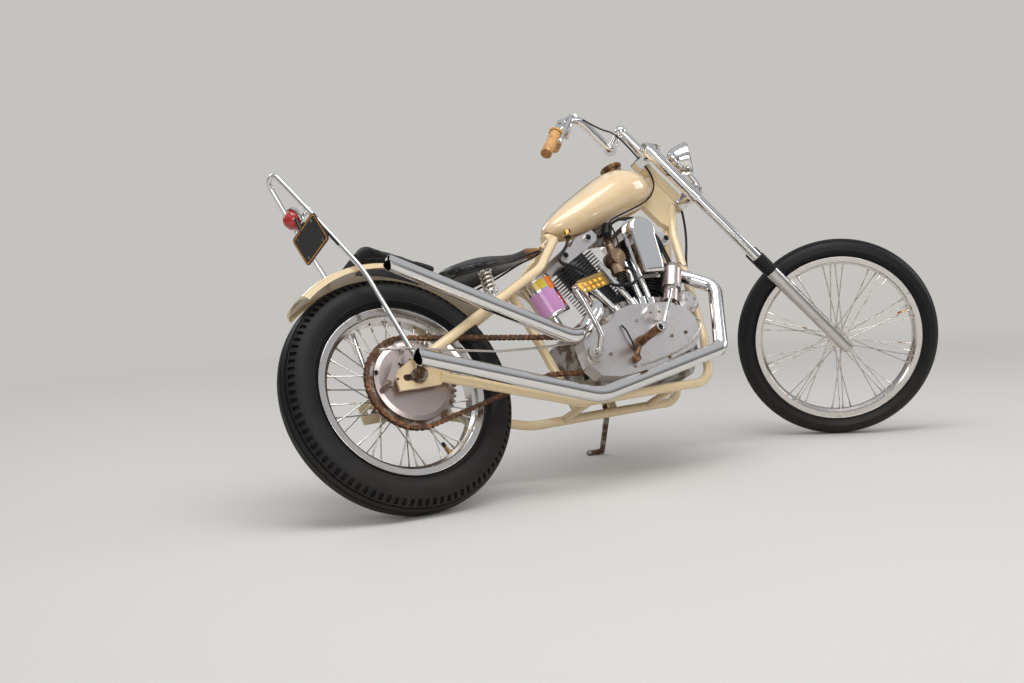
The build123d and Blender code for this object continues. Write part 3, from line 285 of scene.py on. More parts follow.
# %% Node groups for wear
def node_group(name, inputs, outputs):
    """Empty shader group with float inputs and outputs."""
    made = bpy.data.node_groups.new(name, "ShaderNodeTree")
    for label, value in inputs:
        socket = made.interface.new_socket(label, in_out="INPUT", socket_type="NodeSocketFloat")
        socket.default_value = value
    for label in outputs:
        made.interface.new_socket(label, in_out="OUTPUT", socket_type="NodeSocketFloat")
    return made, made.nodes.new("NodeGroupInput"), made.nodes.new("NodeGroupOutput")


blotches, entry, leave = node_group(
    "blotches", [("Scale", 20.0), ("Cover", 0.3), ("Softness", 0.1)], ["Mask"])
where = own_place(blotches)
cloud = wire(blotches, "TexNoise", Vector=where, Scale=entry.outputs["Scale"], Detail=8.0, Roughness=0.68)
low = reckon(blotches, "SUBTRACT", 0.85, entry.outputs["Cover"])
high = reckon(blotches, "ADD", low, entry.outputs["Softness"])
cut = wire(blotches, "MapRange", Value=cloud.outputs[0], From_Min=low, From_Max=high,
           interpolation_type="SMOOTHSTEP")
blotches.links.new(cut.outputs[0], leave.inputs["Mask"])

road_dust, entry, leave = node_group("road_dust", [("Height", 0.35), ("Amount", 0.4)], ["Mask"])
where = own_place(road_dust)
fall = wire(road_dust, "MapRange", Value=wire(road_dust, "SeparateXYZ", [where]).outputs["Z"],
            From_Max=entry.outputs["Height"], To_Min=1.0, To_Max=0.0)
patches = wire(road_dust, "TexNoise", Vector=where, Scale=14.0, Detail=6.0)
thin = reckon(road_dust, "MULTIPLY", fall.outputs[0], patches.outputs[0])
thin = reckon(road_dust, "MULTIPLY", thin, entry.outputs["Amount"])
road_dust.links.new(thin, leave.inputs["Mask"])

grain, entry, leave = node_group("grain", [("Scale", 300.0), ("Cells", 0.0)], ["Height"])
where = own_place(grain)
sand = wire(grain, "TexNoise", Vector=where, Scale=entry.outputs["Scale"], Detail=5.0)
hide = wire(grain, "TexVoronoi", Vector=where, Scale=entry.outputs["Scale"])
picked = mixed(grain, "FLOAT", entry.outputs["Cells"], sand.outputs[0], hide.outputs["Distance"])
grain.links.new(picked, leave.inputs["Height"])
print("groups:", [g.name for g in bpy.data.node_groups])

# %% [markdown]
# One function then wires a finish: a clean colour, a second colour where the blotches are, dust
# low down, roughness that follows the same masks, and a bump. What is the same all over, such as
# coat and metallic, is set on the shader itself.

# %% A finish from its colours
dust_brown = (0.24, 0.17, 0.11, 1)
look = {}


def finish(name, clean, aged, cover, scale, metallic, rough, bump=(300, 0.02), coat=0.0, cells=0.0,
           dust=0.25, softness=0.12):
    """Makes a finish with a clean and an aged colour, road dust and a grain, and keeps it by name."""
    made, tree, shader = material(name, Metallic=metallic, Coat_Weight=coat, Coat_Roughness=0.06)
    spots = wire(tree, "Group", node_tree=blotches, Scale=scale, Cover=cover, Softness=softness)
    worn = spots.outputs["Mask"]
    dusty = wire(tree, "Group", node_tree=road_dust, Amount=dust).outputs["Mask"]
    fine = wire(tree, "Group", node_tree=grain, Scale=bump[0], Cells=cells).outputs["Height"]
    colour = mixed(tree, "RGBA", worn, (*clean, 1), (*aged, 1))
    tree.links.new(mixed(tree, "RGBA", dusty, colour, dust_brown), shader.inputs["Base Color"])
    dull = mixed(tree, "FLOAT", worn, *rough)
    tree.links.new(mixed(tree, "FLOAT", dusty, dull, 0.8), shader.inputs["Roughness"])
    lumps = wire(tree, "Bump", Strength=0.5, Distance=bump[1] / 1000, Height=fine)
    tree.links.new(lumps.outputs[0], shader.inputs["Normal"])
    look[name] = made


finish_rows = [
    # name, clean and aged colour, cover and scale of the blotches, metallic, clean and aged roughness,
    # scale and depth of the grain, then where they differ: coat, leather cells, dust, softness
    ("frame_cream", (0.77, 0.60, 0.36), (0.40, 0.22, 0.09), 0.20, 26, 0.0, (0.24, 0.6), (90, 0.05), 0.6),
    ("tank_cream", (0.80, 0.61, 0.37), (0.68, 0.46, 0.24), 0.42, 3.2, 0.0, (0.16, 0.20), (60, 0.03),
        1.0, 0.0, 0.0, 0.5),
    ("chrome", (0.80, 0.79, 0.78), (0.46, 0.33, 0.22), 0.16, 60, 1.0, (0.07, 0.42), (500, 0.01),
        0.0, 0.0, 0.35),
    ("rim_chrome", (0.70, 0.67, 0.64), (0.36, 0.24, 0.16), 0.26, 42, 1.0, (0.14, 0.5), (400, 0.02)),
    ("slider_alloy", (0.62, 0.59, 0.56), (0.42, 0.36, 0.31), 0.3, 18, 1.0, (0.28, 0.46), (700, 0.03)),
    ("cover_alloy", (0.66, 0.63, 0.62), (0.54, 0.50, 0.47), 0.34, 11, 1.0, (0.30, 0.46), (420, 0.04)),
    ("cast_alloy", (0.40, 0.38, 0.36), (0.17, 0.13, 0.10), 0.40, 24, 1.0, (0.42, 0.72), (260, 0.16)),
    ("black_iron", (0.018, 0.018, 0.019), (0.12, 0.10, 0.09), 0.24, 50, 0.0, (0.34, 0.66), (240, 0.10)),
    ("spoke_steel", (0.66, 0.62, 0.57), (0.34, 0.20, 0.10), 0.30, 40, 1.0, (0.26, 0.60), (400, 0.02)),
    ("dull_steel", (0.40, 0.37, 0.34), (0.17, 0.10, 0.06), 0.42, 34, 1.0, (0.38, 0.72), (300, 0.06)),
    ("rusty_steel", (0.26, 0.14, 0.07), (0.11, 0.06, 0.035), 0.40, 60, 0.7, (0.50, 0.80), (260, 0.14)),
    ("chain_rust", (0.40, 0.175, 0.075), (0.13, 0.075, 0.05), 0.46, 44, 0.75, (0.36, 0.66), (320, 0.08)),
    ("brass", (0.62, 0.38, 0.11), (0.30, 0.15, 0.05), 0.34, 46, 1.0, (0.30, 0.62), (260, 0.06)),
    ("bronze", (0.30, 0.20, 0.14), (0.50, 0.34, 0.19), 0.36, 60, 0.9, (0.38, 0.62), (260, 0.08)),
    ("plate_alloy", (0.50, 0.43, 0.41), (0.40, 0.32, 0.29), 0.30, 9, 1.0, (0.34, 0.58), (300, 0.05)),
    ("rubber", (0.010, 0.010, 0.0105), (0.026, 0.024, 0.022), 0.30, 9, 0.0, (0.50, 0.70), (420, 0.05),
        0.0, 0.0, 0.10, 0.3),
    ("black_hose", (0.010, 0.010, 0.010), (0.04, 0.035, 0.03), 0.3, 30, 0.0, (0.42, 0.6), (500, 0.02)),
    ("gum_grip", (0.58, 0.32, 0.11), (0.34, 0.16, 0.05), 0.36, 22, 0.0, (0.46, 0.66), (260, 0.10),
        0.0, 0.0, 0.0),
    ("black_leather", (0.012, 0.011, 0.011), (0.040, 0.027, 0.017), 0.26, 12, 0.0, (0.26, 0.46), (420, 0.30),
        0.0, 1.0, 0.0),
    ("black_enamel", (0.015, 0.015, 0.016), (0.10, 0.07, 0.05), 0.2, 40, 0.0, (0.2, 0.6), (300, 0.02), 0.8),
    ("amber_paint", (0.60, 0.25, 0.02), (0.30, 0.12, 0.01), 0.25, 70, 0.0, (0.36, 0.6)),
    ("can_paint", (0.74, 0.73, 0.72), (0.52, 0.46, 0.42), 0.22, 40, 1.0, (0.10, 0.30), (200, 0.02),
        0.0, 0.0, 0.0),
    # worn leather; its colour also gets a painted tan sheen at the nose, further below
    ("worn_leather_and_painted_sheen", (0.012, 0.011, 0.011), (0.040, 0.027, 0.017), 0.26, 12, 0.0, (0.24, 0.42), (420, 0.30),
        0.0, 1.0, 0.0),
    ("kick_metal", (0.62, 0.60, 0.58), (0.34, 0.24, 0.16), 0.22, 44, 1.0, (0.16, 0.5), (260, 0.05)),
    ("red_lens", (0.42, 0.010, 0.008), (0.30, 0.008, 0.006), 0.3, 30, 0.0, (0.08, 0.16), (160, 0.04),
        1.0, 0.0, 0.0),
]
for row in finish_rows:
    finish(*row)
for name in ("rubber", "black_hose", "black_leather", "black_enamel"):
    look[name].node_tree.nodes["Principled BSDF"].inputs["Specular IOR Level"].default_value = 0.22
look["black_enamel"].node_tree.nodes["Principled BSDF"].inputs["Coat Weight"].default_value = 0.25
print("finishes:", len(look))

# %% [markdown]
# Some finishes need a pattern of their own. The seat's leather has a painted tan sheen at its nose,
# a highlight laid by the distance from a point there. The kick arm is plated and its pedal brass, so
# brass starts at a given distance out from the machine's middle. The oil can is a bright can with
# paper patches stuck on its right side. Each patch is a box in the can's own directions, found by a
# Mapping node that turns Object coordinates into them. The patches are plain generic colours with no
# print, and where one lies, the metal stops. The lamp glass and the red lens are clear and coloured
# plastics.

# %% Can patches, painted sheen on the seat leather, kick arm, glass and lens
def along_axes(tree, place):
    """Sockets X, Y and Z: Object coordinates along a matrix's own directions."""
    spot = own_place(tree)
    turned = wire(tree, "Mapping", vector_type="TEXTURE", Vector=spot, Location=place.translation,
                  Rotation=place.to_euler())
    return wire(tree, "SeparateXYZ", [turned.outputs[0]]).outputs


def repaint(made, mask, colour):
    """Lays a colour over a finish where a mask is 1."""
    base = made.node_tree.nodes["Principled BSDF"].inputs["Base Color"]
    made.node_tree.links.new(mixed(made.node_tree, "RGBA", mask, base.links[0].from_socket, colour), base)


can_tilt = radians(-19)
can_place = bike @ Matrix.Translation((0.560, 0, 0.572)) @ Matrix.Rotation(can_tilt, 4, "Y")
can_patches = [
    # fore-and-aft middle, height of the middle, half width, half height, colour
    (-0.018, -0.018, 0.036, 0.040, (0.56, 0.27, 0.52, 1)),
    (0.024, 0.036, 0.020, 0.022, (0.74, 0.20, 0.03, 1)),
    (-0.018, 0.043, 0.019, 0.015, (0.72, 0.52, 0.05, 1)),
    (0.038, -0.024, 0.015, 0.022, (0.52, 0.05, 0.05, 1)),
]
tree = look["can_paint"].node_tree
axes = along_axes(tree, can_place)
facing = reckon(tree, "LESS_THAN", axes["Y"], 0.0)
bare_metal = 1.0
for across, high, half_wide, half_high, shade in can_patches:
    inside = reckon(tree, "MULTIPLY", reckon(tree, "COMPARE", axes["X"], across, half_wide),
                    reckon(tree, "COMPARE", axes["Z"], high, half_high))
    inside = reckon(tree, "MULTIPLY", inside, facing)
    repaint(look["can_paint"], inside, shade)
    bare_metal = reckon(tree, "SUBTRACT", bare_metal, inside)
tree.links.new(bare_metal, tree.nodes["Principled BSDF"].inputs["Metallic"])

# The tan at the seat's nose is painted sheen: a highlight laid into the leather's colour, strongest at the
# nose and gone a few centimetres away.
tree = look["worn_leather_and_painted_sheen"].node_tree
tree.nodes["Principled BSDF"].inputs["Specular IOR Level"].default_value = 0.3
seat_nose = bike @ Vector((0.590, 0.0, 0.752))
spot = own_place(tree)
nose = wire(tree, "VectorMath", [spot, seat_nose], operation="DISTANCE")
nose_sheen = wire(tree, "MapRange", Value=nose.outputs["Value"], From_Min=0.085, From_Max=0.020,
            interpolation_type="SMOOTHSTEP")
repaint(look["worn_leather_and_painted_sheen"], reckon(tree, "MULTIPLY", nose_sheen.outputs[0], 0.85), (0.34, 0.17, 0.06, 1))

pedal_from = -0.2265
tree = look["kick_metal"].node_tree
beyond_arm = reckon(tree, "LESS_THAN", along_axes(tree, bike)["Y"], pedal_from)
repaint(look["kick_metal"], beyond_arm, (0.62, 0.40, 0.13, 1))

look["lamp_glass"], tree, shader = material("lamp_glass", Base_Color=(0.92, 0.94, 0.95, 1), Roughness=0.04,
                                            Transmission_Weight=0.9)
flutes = wire(tree, "TexWave", Vector=own_place(tree), Scale=70.0)
ripple = wire(tree, "Bump", Distance=0.0006, Height=flutes.outputs["Fac"])
tree.links.new(ripple.outputs[0], shader.inputs["Normal"])
print("can at", [round(v, 3) for v in can_place.translation])

# %% [markdown]
# ## Giving the CAD pieces their finish
# A CAD node whose shape is right only needs its material slot changed. The table below reads like
# a parts list: the slot of the finish, the finish, then every node that has it. Finishes with no
# node of their own are for pieces that are added later.

# %% Finish for each CAD node
finishes = [
    ("frame_paint", "frame_cream", """frame_neck frame_downtubes frame_lower_rails frame_seat_post fender
        chain_stay_right chain_stay_left seat_stay_right seat_stay_left"""),
    ("tank_paint", "tank_cream", "fuel_tank"),
    ("chrome", "chrome", """fork_tubes handlebar exhaust_front exhaust_rear sissy_bar air_cover seat_springs
        headlight triple_trees pushrod_tubes shift_lever"""),
    ("chrome", "rim_chrome", "front_rim rear_rim"),
    ("polished_alloy", "slider_alloy", "fork_sliders"),
    ("polished_alloy", "cover_alloy", "gearcase_cover primary_cover rocker_boxes generator"),
    ("cast_alloy", "cast_alloy", "crankcase"),
    ("cast_alloy", "plate_alloy", "brake_plate magneto"),
    ("black_iron", "black_iron", "cylinders"),
    ("bright_steel", "spoke_steel", "front_hub_spokes rear_hub_spokes brake_rod"),
    ("bright_steel", "dull_steel", """rear_axle side_stand chain_tensioner engine_mount rear_drum_sprocket
        tank_cap"""),
    ("bright_steel", "rusty_steel", "foot_pegs"),
    ("bright_steel", "chain_rust", "chain"),
    ("brass", "kick_metal", "kick_starter"),
    ("brass", "bronze", "carburettor"),
    ("brass", "brass", ""),
    ("tyre_rubber", "rubber", "front_tyre rear_tyre fork_seals"),
    ("seal_rubber", "black_hose", "fuel_hose ignition_leads"),
    ("grip_rubber", "gum_grip", "grips"),
    ("seat_leather", "black_leather", "seat pillion_pad"),
    ("seat_leather", "worn_leather_and_painted_sheen", ""),
    ("black_enamel", "black_enamel", "number_plate"),
    ("black_enamel", "amber_paint", ""),
    ("lens_red", "red_lens", "tail_light"),
    ("lens_red", "lamp_glass", ""),
    ("can_print", "can_paint", "oil_tank"),
]
slot_of = {made: slot for slot, made, names in finishes}
bare = set(frame["nodes"])
for slot, made, names in finishes:
    for name in bare.intersection(names.split()):
        frame["nodes"][name].data.materials.clear()
        frame["nodes"][name].data.materials.append(look[made])
        bare.remove(name)
print("nodes without a finish:", bare)

# %% [markdown]
# ## Small tools for new pieces
# Almost everything added here is round: it is either a bar between two points or an outline turned
# about an axis. Three helpers make those from bmesh operators, and `piece` then carries the mesh to
# its place, turns its faces outwards and seats it on the body that it moves with. `template` shapes
# that repeat, such as screws, are built once and stamped.

# %% Helpers
def aimed(at, along):
    """Matrix that stands a shape's Z along a direction, at a point."""
    return Matrix.Translation(at) @ Vector(along).to_track_quat("Z", "Y").to_matrix().to_4x4()


def bar(mesh, start, end, radius, end_radius=None, sides=16):
    """Adds a closed round bar or cone between two points."""
    start, end = Vector(start), Vector(end)
    bmesh.ops.create_cone(mesh, cap_ends=True, segments=sides, radius1=radius,
                          radius2=radius if end_radius is None else end_radius, depth=(end - start).length,
                          matrix=aimed((start + end) / 2, end - start))


def stamp(mesh, template, matrix):
    """Adds a copy of a template bmesh, carried by a matrix."""
    copy = template.copy()
    bmesh.ops.transform(copy, matrix=matrix, verts=copy.verts)
    held = bpy.data.meshes.new("held")
    copy.to_mesh(held)
    copy.free()
    mesh.from_mesh(held)
    bpy.data.meshes.remove(held)


def lathe(mesh, outline, matrix=Matrix.Identity(4), steps=40):
    """Adds an outline of (radius, height) points turned about Z. Poles and the last seam are merged."""
    spun = bmesh.new()
    closed = outline[0] == outline[-1]
    corners = outline[:-1] if closed else outline
    points = [spun.verts.new((radius, 0, height)) for radius, height in corners]
    edges = [spun.edges.new(two) for two in zip(points, points[1:])]
    if closed:
        edges.append(spun.edges.new((points[-1], points[0])))
    bmesh.ops.spin(spun, geom=points + edges, cent=(0, 0, 0), axis=(0, 0, 1), angle=2 * pi, steps=steps,
                   use_merge=True)
    bmesh.ops.remove_doubles(spun, verts=spun.verts, dist=0.00002)
    stamp(mesh, spun, matrix)
    spun.free()


def seat_on(made_object, made, body):
    """Gives an object its finish and slot and the body that it rides on."""
    scene.collection.objects.link(made_object)
    made_object.data.materials.append(look[made])
    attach(made_object, body)
    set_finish(made_object, slot_of[made])
    return made_object


def piece(name, mesh, made, body, where=bike, sharp=38):
    """Carries a mesh to its place, faces it outwards, shades it and seats it on its body."""
    bmesh.ops.transform(mesh, matrix=where, verts=mesh.verts)
    bmesh.ops.recalc_face_normals(mesh, faces=mesh.faces)
    data = bpy.data.meshes.new(name)
    mesh.to_mesh(data)
    mesh.free()
    data.shade_smooth()
    data.set_sharp_from_angle(angle=radians(sharp))
    return seat_on(bpy.data.objects.new(name, data), made, body)


def hose(name, points, radius, made, body, where=bike, closed=False):
    """Round hose or cable: one smooth NURBS curve with the points as its control points."""
    line = bpy.data.curves.new(name, "CURVE")
    line.dimensions = "3D"
    line.bevel_depth = radius
    line.bevel_resolution = 3
    line.resolution_u = 8
    line.use_fill_caps = True
    run = line.splines.new("NURBS")
    run.points.add(len(points) - 1)
    for spot, at in zip(run.points, points):
        spot.co = (*(where @ Vector(at)), 1)
    run.order_u = 3
    run.use_endpoint_u = not closed
    run.use_cyclic_u = closed
    return seat_on(bpy.data.objects.new(name, line), made, body)


ACROSS = Matrix.Rotation(radians(-90), 4, "X")
print("Z now points left:", [round(v, 3) for v in ACROSS @ Vector((0, 0, 1))])

# %% [markdown]
# ## Tyres
# A tyre is a shape of revolution with a pattern on its crown. The section is drawn once, with its
# grooves as small dips in the outline, and spun about the axle. On the rear tyre the faces at the
# shoulders are then pushed in, every other step, which leaves the saw-tooth edge of an old block
# tread. The front one is a plain ribbed tyre. The sidewalls carry fine moulding rings and no words.

# %% Tread
def tyre(name, node, body, where, radius, width, crown, bead, rim_width, grooves, teeth):
    """Spun tyre with grooves at given crown angles and, if asked, notched shoulders."""
    centre, half = radius - crown, rim_width / 2 - 0.006
    marks = [(bead, half), (bead + 0.015, half), (bead + 0.021, half + 0.003)]
    wall = bead + 0.030
    while wall < centre - 0.004:
        share = (wall - bead) / (centre - bead)
        marks.append((wall, half + (width / 2 - half) * sin(share * pi / 2)))
        if 0.45 < share < 0.75:
            marks.append((wall + 0.002, marks[-1][1] + 0.0008))
            marks.append((wall + 0.004, marks[-1][1]))
        wall += 0.008
    angles = [(a, 0.0) for a in range(84, -1, -6) if all(abs(a - g) > 4 for g in grooves)]
    for g in grooves:
        angles += [(g + 2.6, 0.0), (g + 1.9, 0.0035), (g - 1.9, 0.0035), (g - 2.6, 0.0)]
    angles.sort(reverse=True)
    for a, dip in angles:
        if a > 0.5:
            marks.append((centre + (crown - dip) * cos(radians(a)), (width / 2 - dip) * sin(radians(a))))
    outline = marks + [(radius, 0.0)] + [(high, -across) for high, across in reversed(marks)]
    mesh = bmesh.new()
    lathe(mesh, outline + [outline[0]], steps=teeth * 2 if teeth else 128)
    if teeth:
        edge = centre + crown * cos(radians(58))
        notches = []
        for face in mesh.faces:
            middle = face.calc_center_median()
            high = hypot(middle.x, middle.y)
            turn = atan2(middle.y, middle.x) / (2 * pi) * teeth
            if edge < high < centre + crown * cos(radians(36)) and turn % 1 < 0.5 and abs(middle.z) > 0.02:
                notches.append(face)
        sunk = bmesh.ops.extrude_discrete_faces(mesh, faces=notches)["faces"]
        for face in sunk:
            bmesh.ops.translate(mesh, verts=face.verts, vec=-face.normal * 0.005)
    made = piece(name, mesh, "rubber", body, where @ ACROSS, sharp=32)
    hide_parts(node)
    print(name, "faces:", len(made.data.polygons))


tyre("rear_tyre_treaded", "rear_tyre", "rear_wheel", rear_wheel, radius=0.340, width=0.116, crown=0.057,
     bead=0.229, rim_width=0.074, grooves=[12, 32], teeth=92)
tyre("front_tyre_ribbed", "front_tyre", "front_wheel", front_wheel, radius=0.339, width=0.082, crown=0.040,
     bead=0.267, rim_width=0.054, grooves=[10, 30], teeth=0)

# %% [markdown]
# ## Spoke nipples and the valves
# Each spoke ends in a nipple that sits in the rim. The CAD spokes follow a simple lacing rule, so
# the same rule gives the line of each nipple here. The front valve wears a red cap.

# %% Nipples and valves
def nipples(name, body, where, count, flange_radius, flange_side, rim_radius, cross):
    """Nipple at the rim end and a small head at the hub end of each spoke."""
    mesh = bmesh.new()
    for number in range(count):
        side = 1 if number % 2 else -1
        slant = 1 if (number // 2) % 2 else -1
        hub, rim = 2 * pi * number / count, 2 * pi * number / count + slant * radians(cross)
        off = side * (flange_side + slant * 0.0026)
        start = Vector((flange_radius * cos(hub), off, flange_radius * sin(hub)))
        end = Vector((rim_radius * cos(rim), side * 0.006, rim_radius * sin(rim)))
        along = (end - start).normalized()
        bar(mesh, end - along * 0.020, end - along * 0.006, 0.0024, 0.0030, 8)
        bar(mesh, end - along * 0.006, end + along * 0.001, 0.0038, 0.0038, 8)
        bar(mesh, start - along * 0.004, start + along * 0.003, 0.0030, 0.0024, 8)
    piece(name, mesh, "spoke_steel", body, where)


nipples("rear_nipples", "rear_wheel", rear_wheel, 40, 0.050, 0.042, 0.2125, 34)
nipples("front_nipples", "front_wheel", front_wheel, 40, 0.026, 0.032, 0.2525, 30)
valves = [
    # which wheel, its matrix, angle on it, rim radius, finish of the cap
    ("front", front_wheel, 12, 0.2525, "red_lens"), ("rear", rear_wheel, -60, 0.2125, "black_hose"),
]
for wheel, where, angle, rim, cap in valves:
    out = Vector((cos(radians(angle)), 0, sin(radians(angle))))
    mesh = bmesh.new()
    bar(mesh, out * rim, out * (rim - 0.026), 0.0036)
    bar(mesh, out * (rim - 0.001), out * (rim - 0.006), 0.0065)
    piece(wheel + "_valve_stem", mesh, "brass", wheel + "_wheel", where)
    mesh = bmesh.new()
    lathe(mesh, [(0, 0), (0.0050, 0), (0.0054, 0.001), (0.0052, 0.011), (0.0034, 0.0135), (0, 0.014)],
          aimed(out * (rim - 0.022), -out), 20)
    piece(wheel + "_valve_cap", mesh, cap, wheel + "_wheel", where)

# %% [markdown]
# ## Seat and pillion pad
# Leather over foam is never a clean solid: it is pulled tight at its edges and rounded by the foam
# inside. It could be sculpted by hand, but a short cloth run gives the same swell by itself. The
# cushion's own mesh is made a little smaller, remeshed evenly and blown up, with its growth
# capped. The welt is sewn on after, round the edge where the cover meets the pan.

# %% Seat and pillion pad
def worked_in(made):
    """Works an object's modifiers into its mesh and takes them off."""
    data = bpy.data.meshes.new_from_object(made.evaluated_get(bpy.context.evaluated_depsgraph_get()))
    made.modifiers.clear()
    made.data = data


pressure = 4.0
cloth_frames = 20


def swell(made, cap):
    """Blows a closed mesh up with a short cloth run. No point moves further than the cap."""
    cloth = made.modifiers.new("cloth", "CLOTH")
    cloth.settings.use_pressure = True
    cloth.settings.uniform_pressure_force = pressure
    cloth.settings.effector_weights.gravity = 0.0
    cloth.point_cache.frame_start, cloth.point_cache.frame_end = 1, cloth_frames
    for number in range(1, cloth_frames + 1):
        scene.frame_set(number)
    blown = made.evaluated_get(bpy.context.evaluated_depsgraph_get()).data
    moves = [v.co.copy() for v in blown.vertices]
    made.modifiers.clear()
    scene.frame_set(1)
    for vertex, goal in zip(made.data.vertices, moves):
        move = goal - vertex.co
        vertex.co += move * min(1.0, cap / max(move.length, 1e-9))


evened_to, taken_in = 0.005, 0.003


def stuffed(name, node, cap, made_of):
    """Swollen copy of a CAD cushion."""
    source = frame["nodes"][node]
    mesh = bmesh.new()
    mesh.from_mesh(source.data)
    bmesh.ops.transform(mesh, matrix=source.matrix_world, verts=mesh.verts)
    bmesh.ops.remove_doubles(mesh, verts=mesh.verts, dist=0.00005)
    data = bpy.data.meshes.new(name)
    mesh.to_mesh(data)
    mesh.free()
    made = bpy.data.objects.new(name, data)
    scene.collection.objects.link(made)
    even = made.modifiers.new("even", "REMESH")
    even.mode, even.voxel_size = "VOXEL", evened_to
    smaller = made.modifiers.new("smaller", "DISPLACE")
    smaller.strength, smaller.mid_level = -taken_in, 0.0
    worked_in(made)
    swell(made, cap)
    scene.collection.objects.unlink(made)
    made.data.materials.clear()
    made.data.shade_smooth()
    seat_on(made, made_of, "frame")
    soft = made.modifiers.new("soft", "SUBSURF")
    soft.levels = soft.render_levels = 1
    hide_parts(node)
    print(name, "points:", len(made.data.vertices))


# The seat's leather carries the painted tan sheen at its nose.
stuffed("seat_cushion", "seat", 0.006, "worn_leather_and_painted_sheen")
stuffed("pillion_cushion", "pillion_pad", 0.008, "black_leather")
seat_edge = [
    # x, half width and height of the edge under the cover, in mm
    (602, 22, 732), (545, 34, 718), (485, 54, 692), (420, 82, 670), (360, 108, 653), (310, 118, 641),
    (262, 108, 636), (222, 62, 640),
]
right_edge = [(x / 1000, -half / 1000, high / 1000) for x, half, high in seat_edge]
left_edge = [(x, -y, z) for x, y, z in reversed(right_edge)]
hose("seat_welt", right_edge + left_edge, 0.0032, "black_hose", "frame", closed=True)
seam_radius = 0.381
for name, side in (("pad_seam_right", -0.068), ("pad_seam_left", 0.068)):
    turns = [radians(a) for a in range(62, 95, 8)]
    seam = [(seam_radius * cos(t), side, rear_axle_height + seam_radius * sin(t)) for t in turns]
    hose(name, seam, 0.0024, "black_hose", "frame")

# %% [markdown]
# ## Seat coils
# Each coil is a wire section swept round its post while it climbs, which is one spin with a step
# of height. Its ends are closed with a face.

# %% Seat coils
def coil(mesh, foot, height, radius, thickness, turns, steps=20):
    """Coil spring upwards from a foot point."""
    wound = bmesh.new()
    upright = Matrix.Translation((radius, 0, 0)) @ Matrix.Rotation(pi / 2, 4, "X")
    start = list(bmesh.ops.create_circle(wound, segments=10, radius=thickness, matrix=upright)["verts"])
    geom = start + list({e for v in start for e in v.link_edges})
    rise = height / (steps * turns)
    last = bmesh.ops.spin(wound, geom=geom, cent=(0, 0, 0), axis=(0, 0, 1), dvec=(0, 0, rise),
                          angle=2 * pi * turns, steps=int(steps * turns))["geom_last"]
    wound.faces.new(start)
    wound.faces.new([part for part in last if isinstance(part, bmesh.types.BMVert)])
    stamp(mesh, wound, aimed(foot, (0, 0, 1)))
    wound.free()


for name, side in (("right", -0.090), ("left", 0.090)):
    mesh = bmesh.new()
    coil(mesh, (0.328, side, 0.5775), 0.064, 0.0165, 0.0034, 5)
    piece("seat_coil_" + name, mesh, "spoke_steel", "frame")

# %% [markdown]
# ## Drive chain
# In the CAD model each link is a plain block. Here every pitch gets its two side plates, its pin
# and its roller. The loop is worked out from the same three circles as the blocks: over the rear
# sprocket, round the engine sprocket and over the roller, with whole pitches in between. Where
# the chain lies on a sprocket the middle is left open for its teeth, which turn past it.

# %% Drive chain
def prism(mesh, outline, near, far):
    """Adds a flat plate: an outline of (x, z) points between two sides."""
    rings = [[mesh.verts.new((x, side, z)) for x, z in outline] for side in (near, far)]
    for ring in rings:
        mesh.faces.new(ring)
    for at in range(len(outline)):
        after = (at + 1) % len(outline)
        mesh.faces.new((rings[0][at], rings[0][after], rings[1][after], rings[1][at]))


def waisted(first, last, radius, waist):
    """Outline of a link plate: round ends about two pins and a narrower middle."""
    along = Vector((last[0] - first[0], last[1] - first[1])).normalized()
    across = Vector((-along.y, along.x))
    first, last = Vector(first), Vector(last)
    middle = (first + last) / 2
    turns = [radians(a) for a in range(-75, 76, 30)]
    points = [last + (along * cos(t) + across * sin(t)) * radius for t in turns] + [middle + across * waist]
    points += [first - (along * cos(t) + across * sin(t)) * radius for t in turns] + [middle - across * waist]
    return [tuple(p) for p in points]


circles = [
    # centre, radius of the pins' circle, and 1 where the chain goes over it or -1 where under
    ((0.0, 0.334), 0.12894, 1), ((0.642, 0.350), 0.05577, 1), ((0.441, 0.280), 0.027, -1),
]
chain_pitch = 0.015875
chain_side = -0.088


def tangent(one, other):
    """Where the run between two circles leaves the first and meets the second."""
    (p, rp, sp), (q, rq, sq) = one, other
    run = (q[0] - p[0], q[1] - p[1])
    turn = atan2(run[1], run[0]) + acos((sp * rp - sq * rq) / hypot(*run))
    return tuple((c[0] + s * r * cos(turn), c[1] + s * r * sin(turn)) for c, r, s in (one, other))


runs = [tangent(circles[at], circles[(at + 1) % 3]) for at in range(3)]
route = []
for which in (1, 2, 0):
    centre, radius, side = circles[which]
    start, end = runs[which - 1][1], runs[which][0]
    begin = atan2(start[1] - centre[1], start[0] - centre[0])
    until = atan2(end[1] - centre[1], end[0] - centre[0])
    sweep = -((begin - until) % (2 * pi)) if side > 0 else (until - begin) % (2 * pi)
    turns = [begin + sweep * k / 60 for k in range(61)]
    route += [Vector((centre[0] + radius * cos(t), centre[1] + radius * sin(t))) for t in turns]
route.append(route[0])
total = sum((b - a).length for a, b in zip(route, route[1:]))
pitches = 2 * round(total / chain_pitch / 2)
pins, passed, goal = [], 0.0, 0.0
for a, b in zip(route, route[1:]):
    while passed + (b - a).length > goal and len(pins) < pitches:
        pins.append(a + (b - a) * ((goal - passed) / (b - a).length))
        goal += total / pitches
    passed += (b - a).length
mesh = bmesh.new()
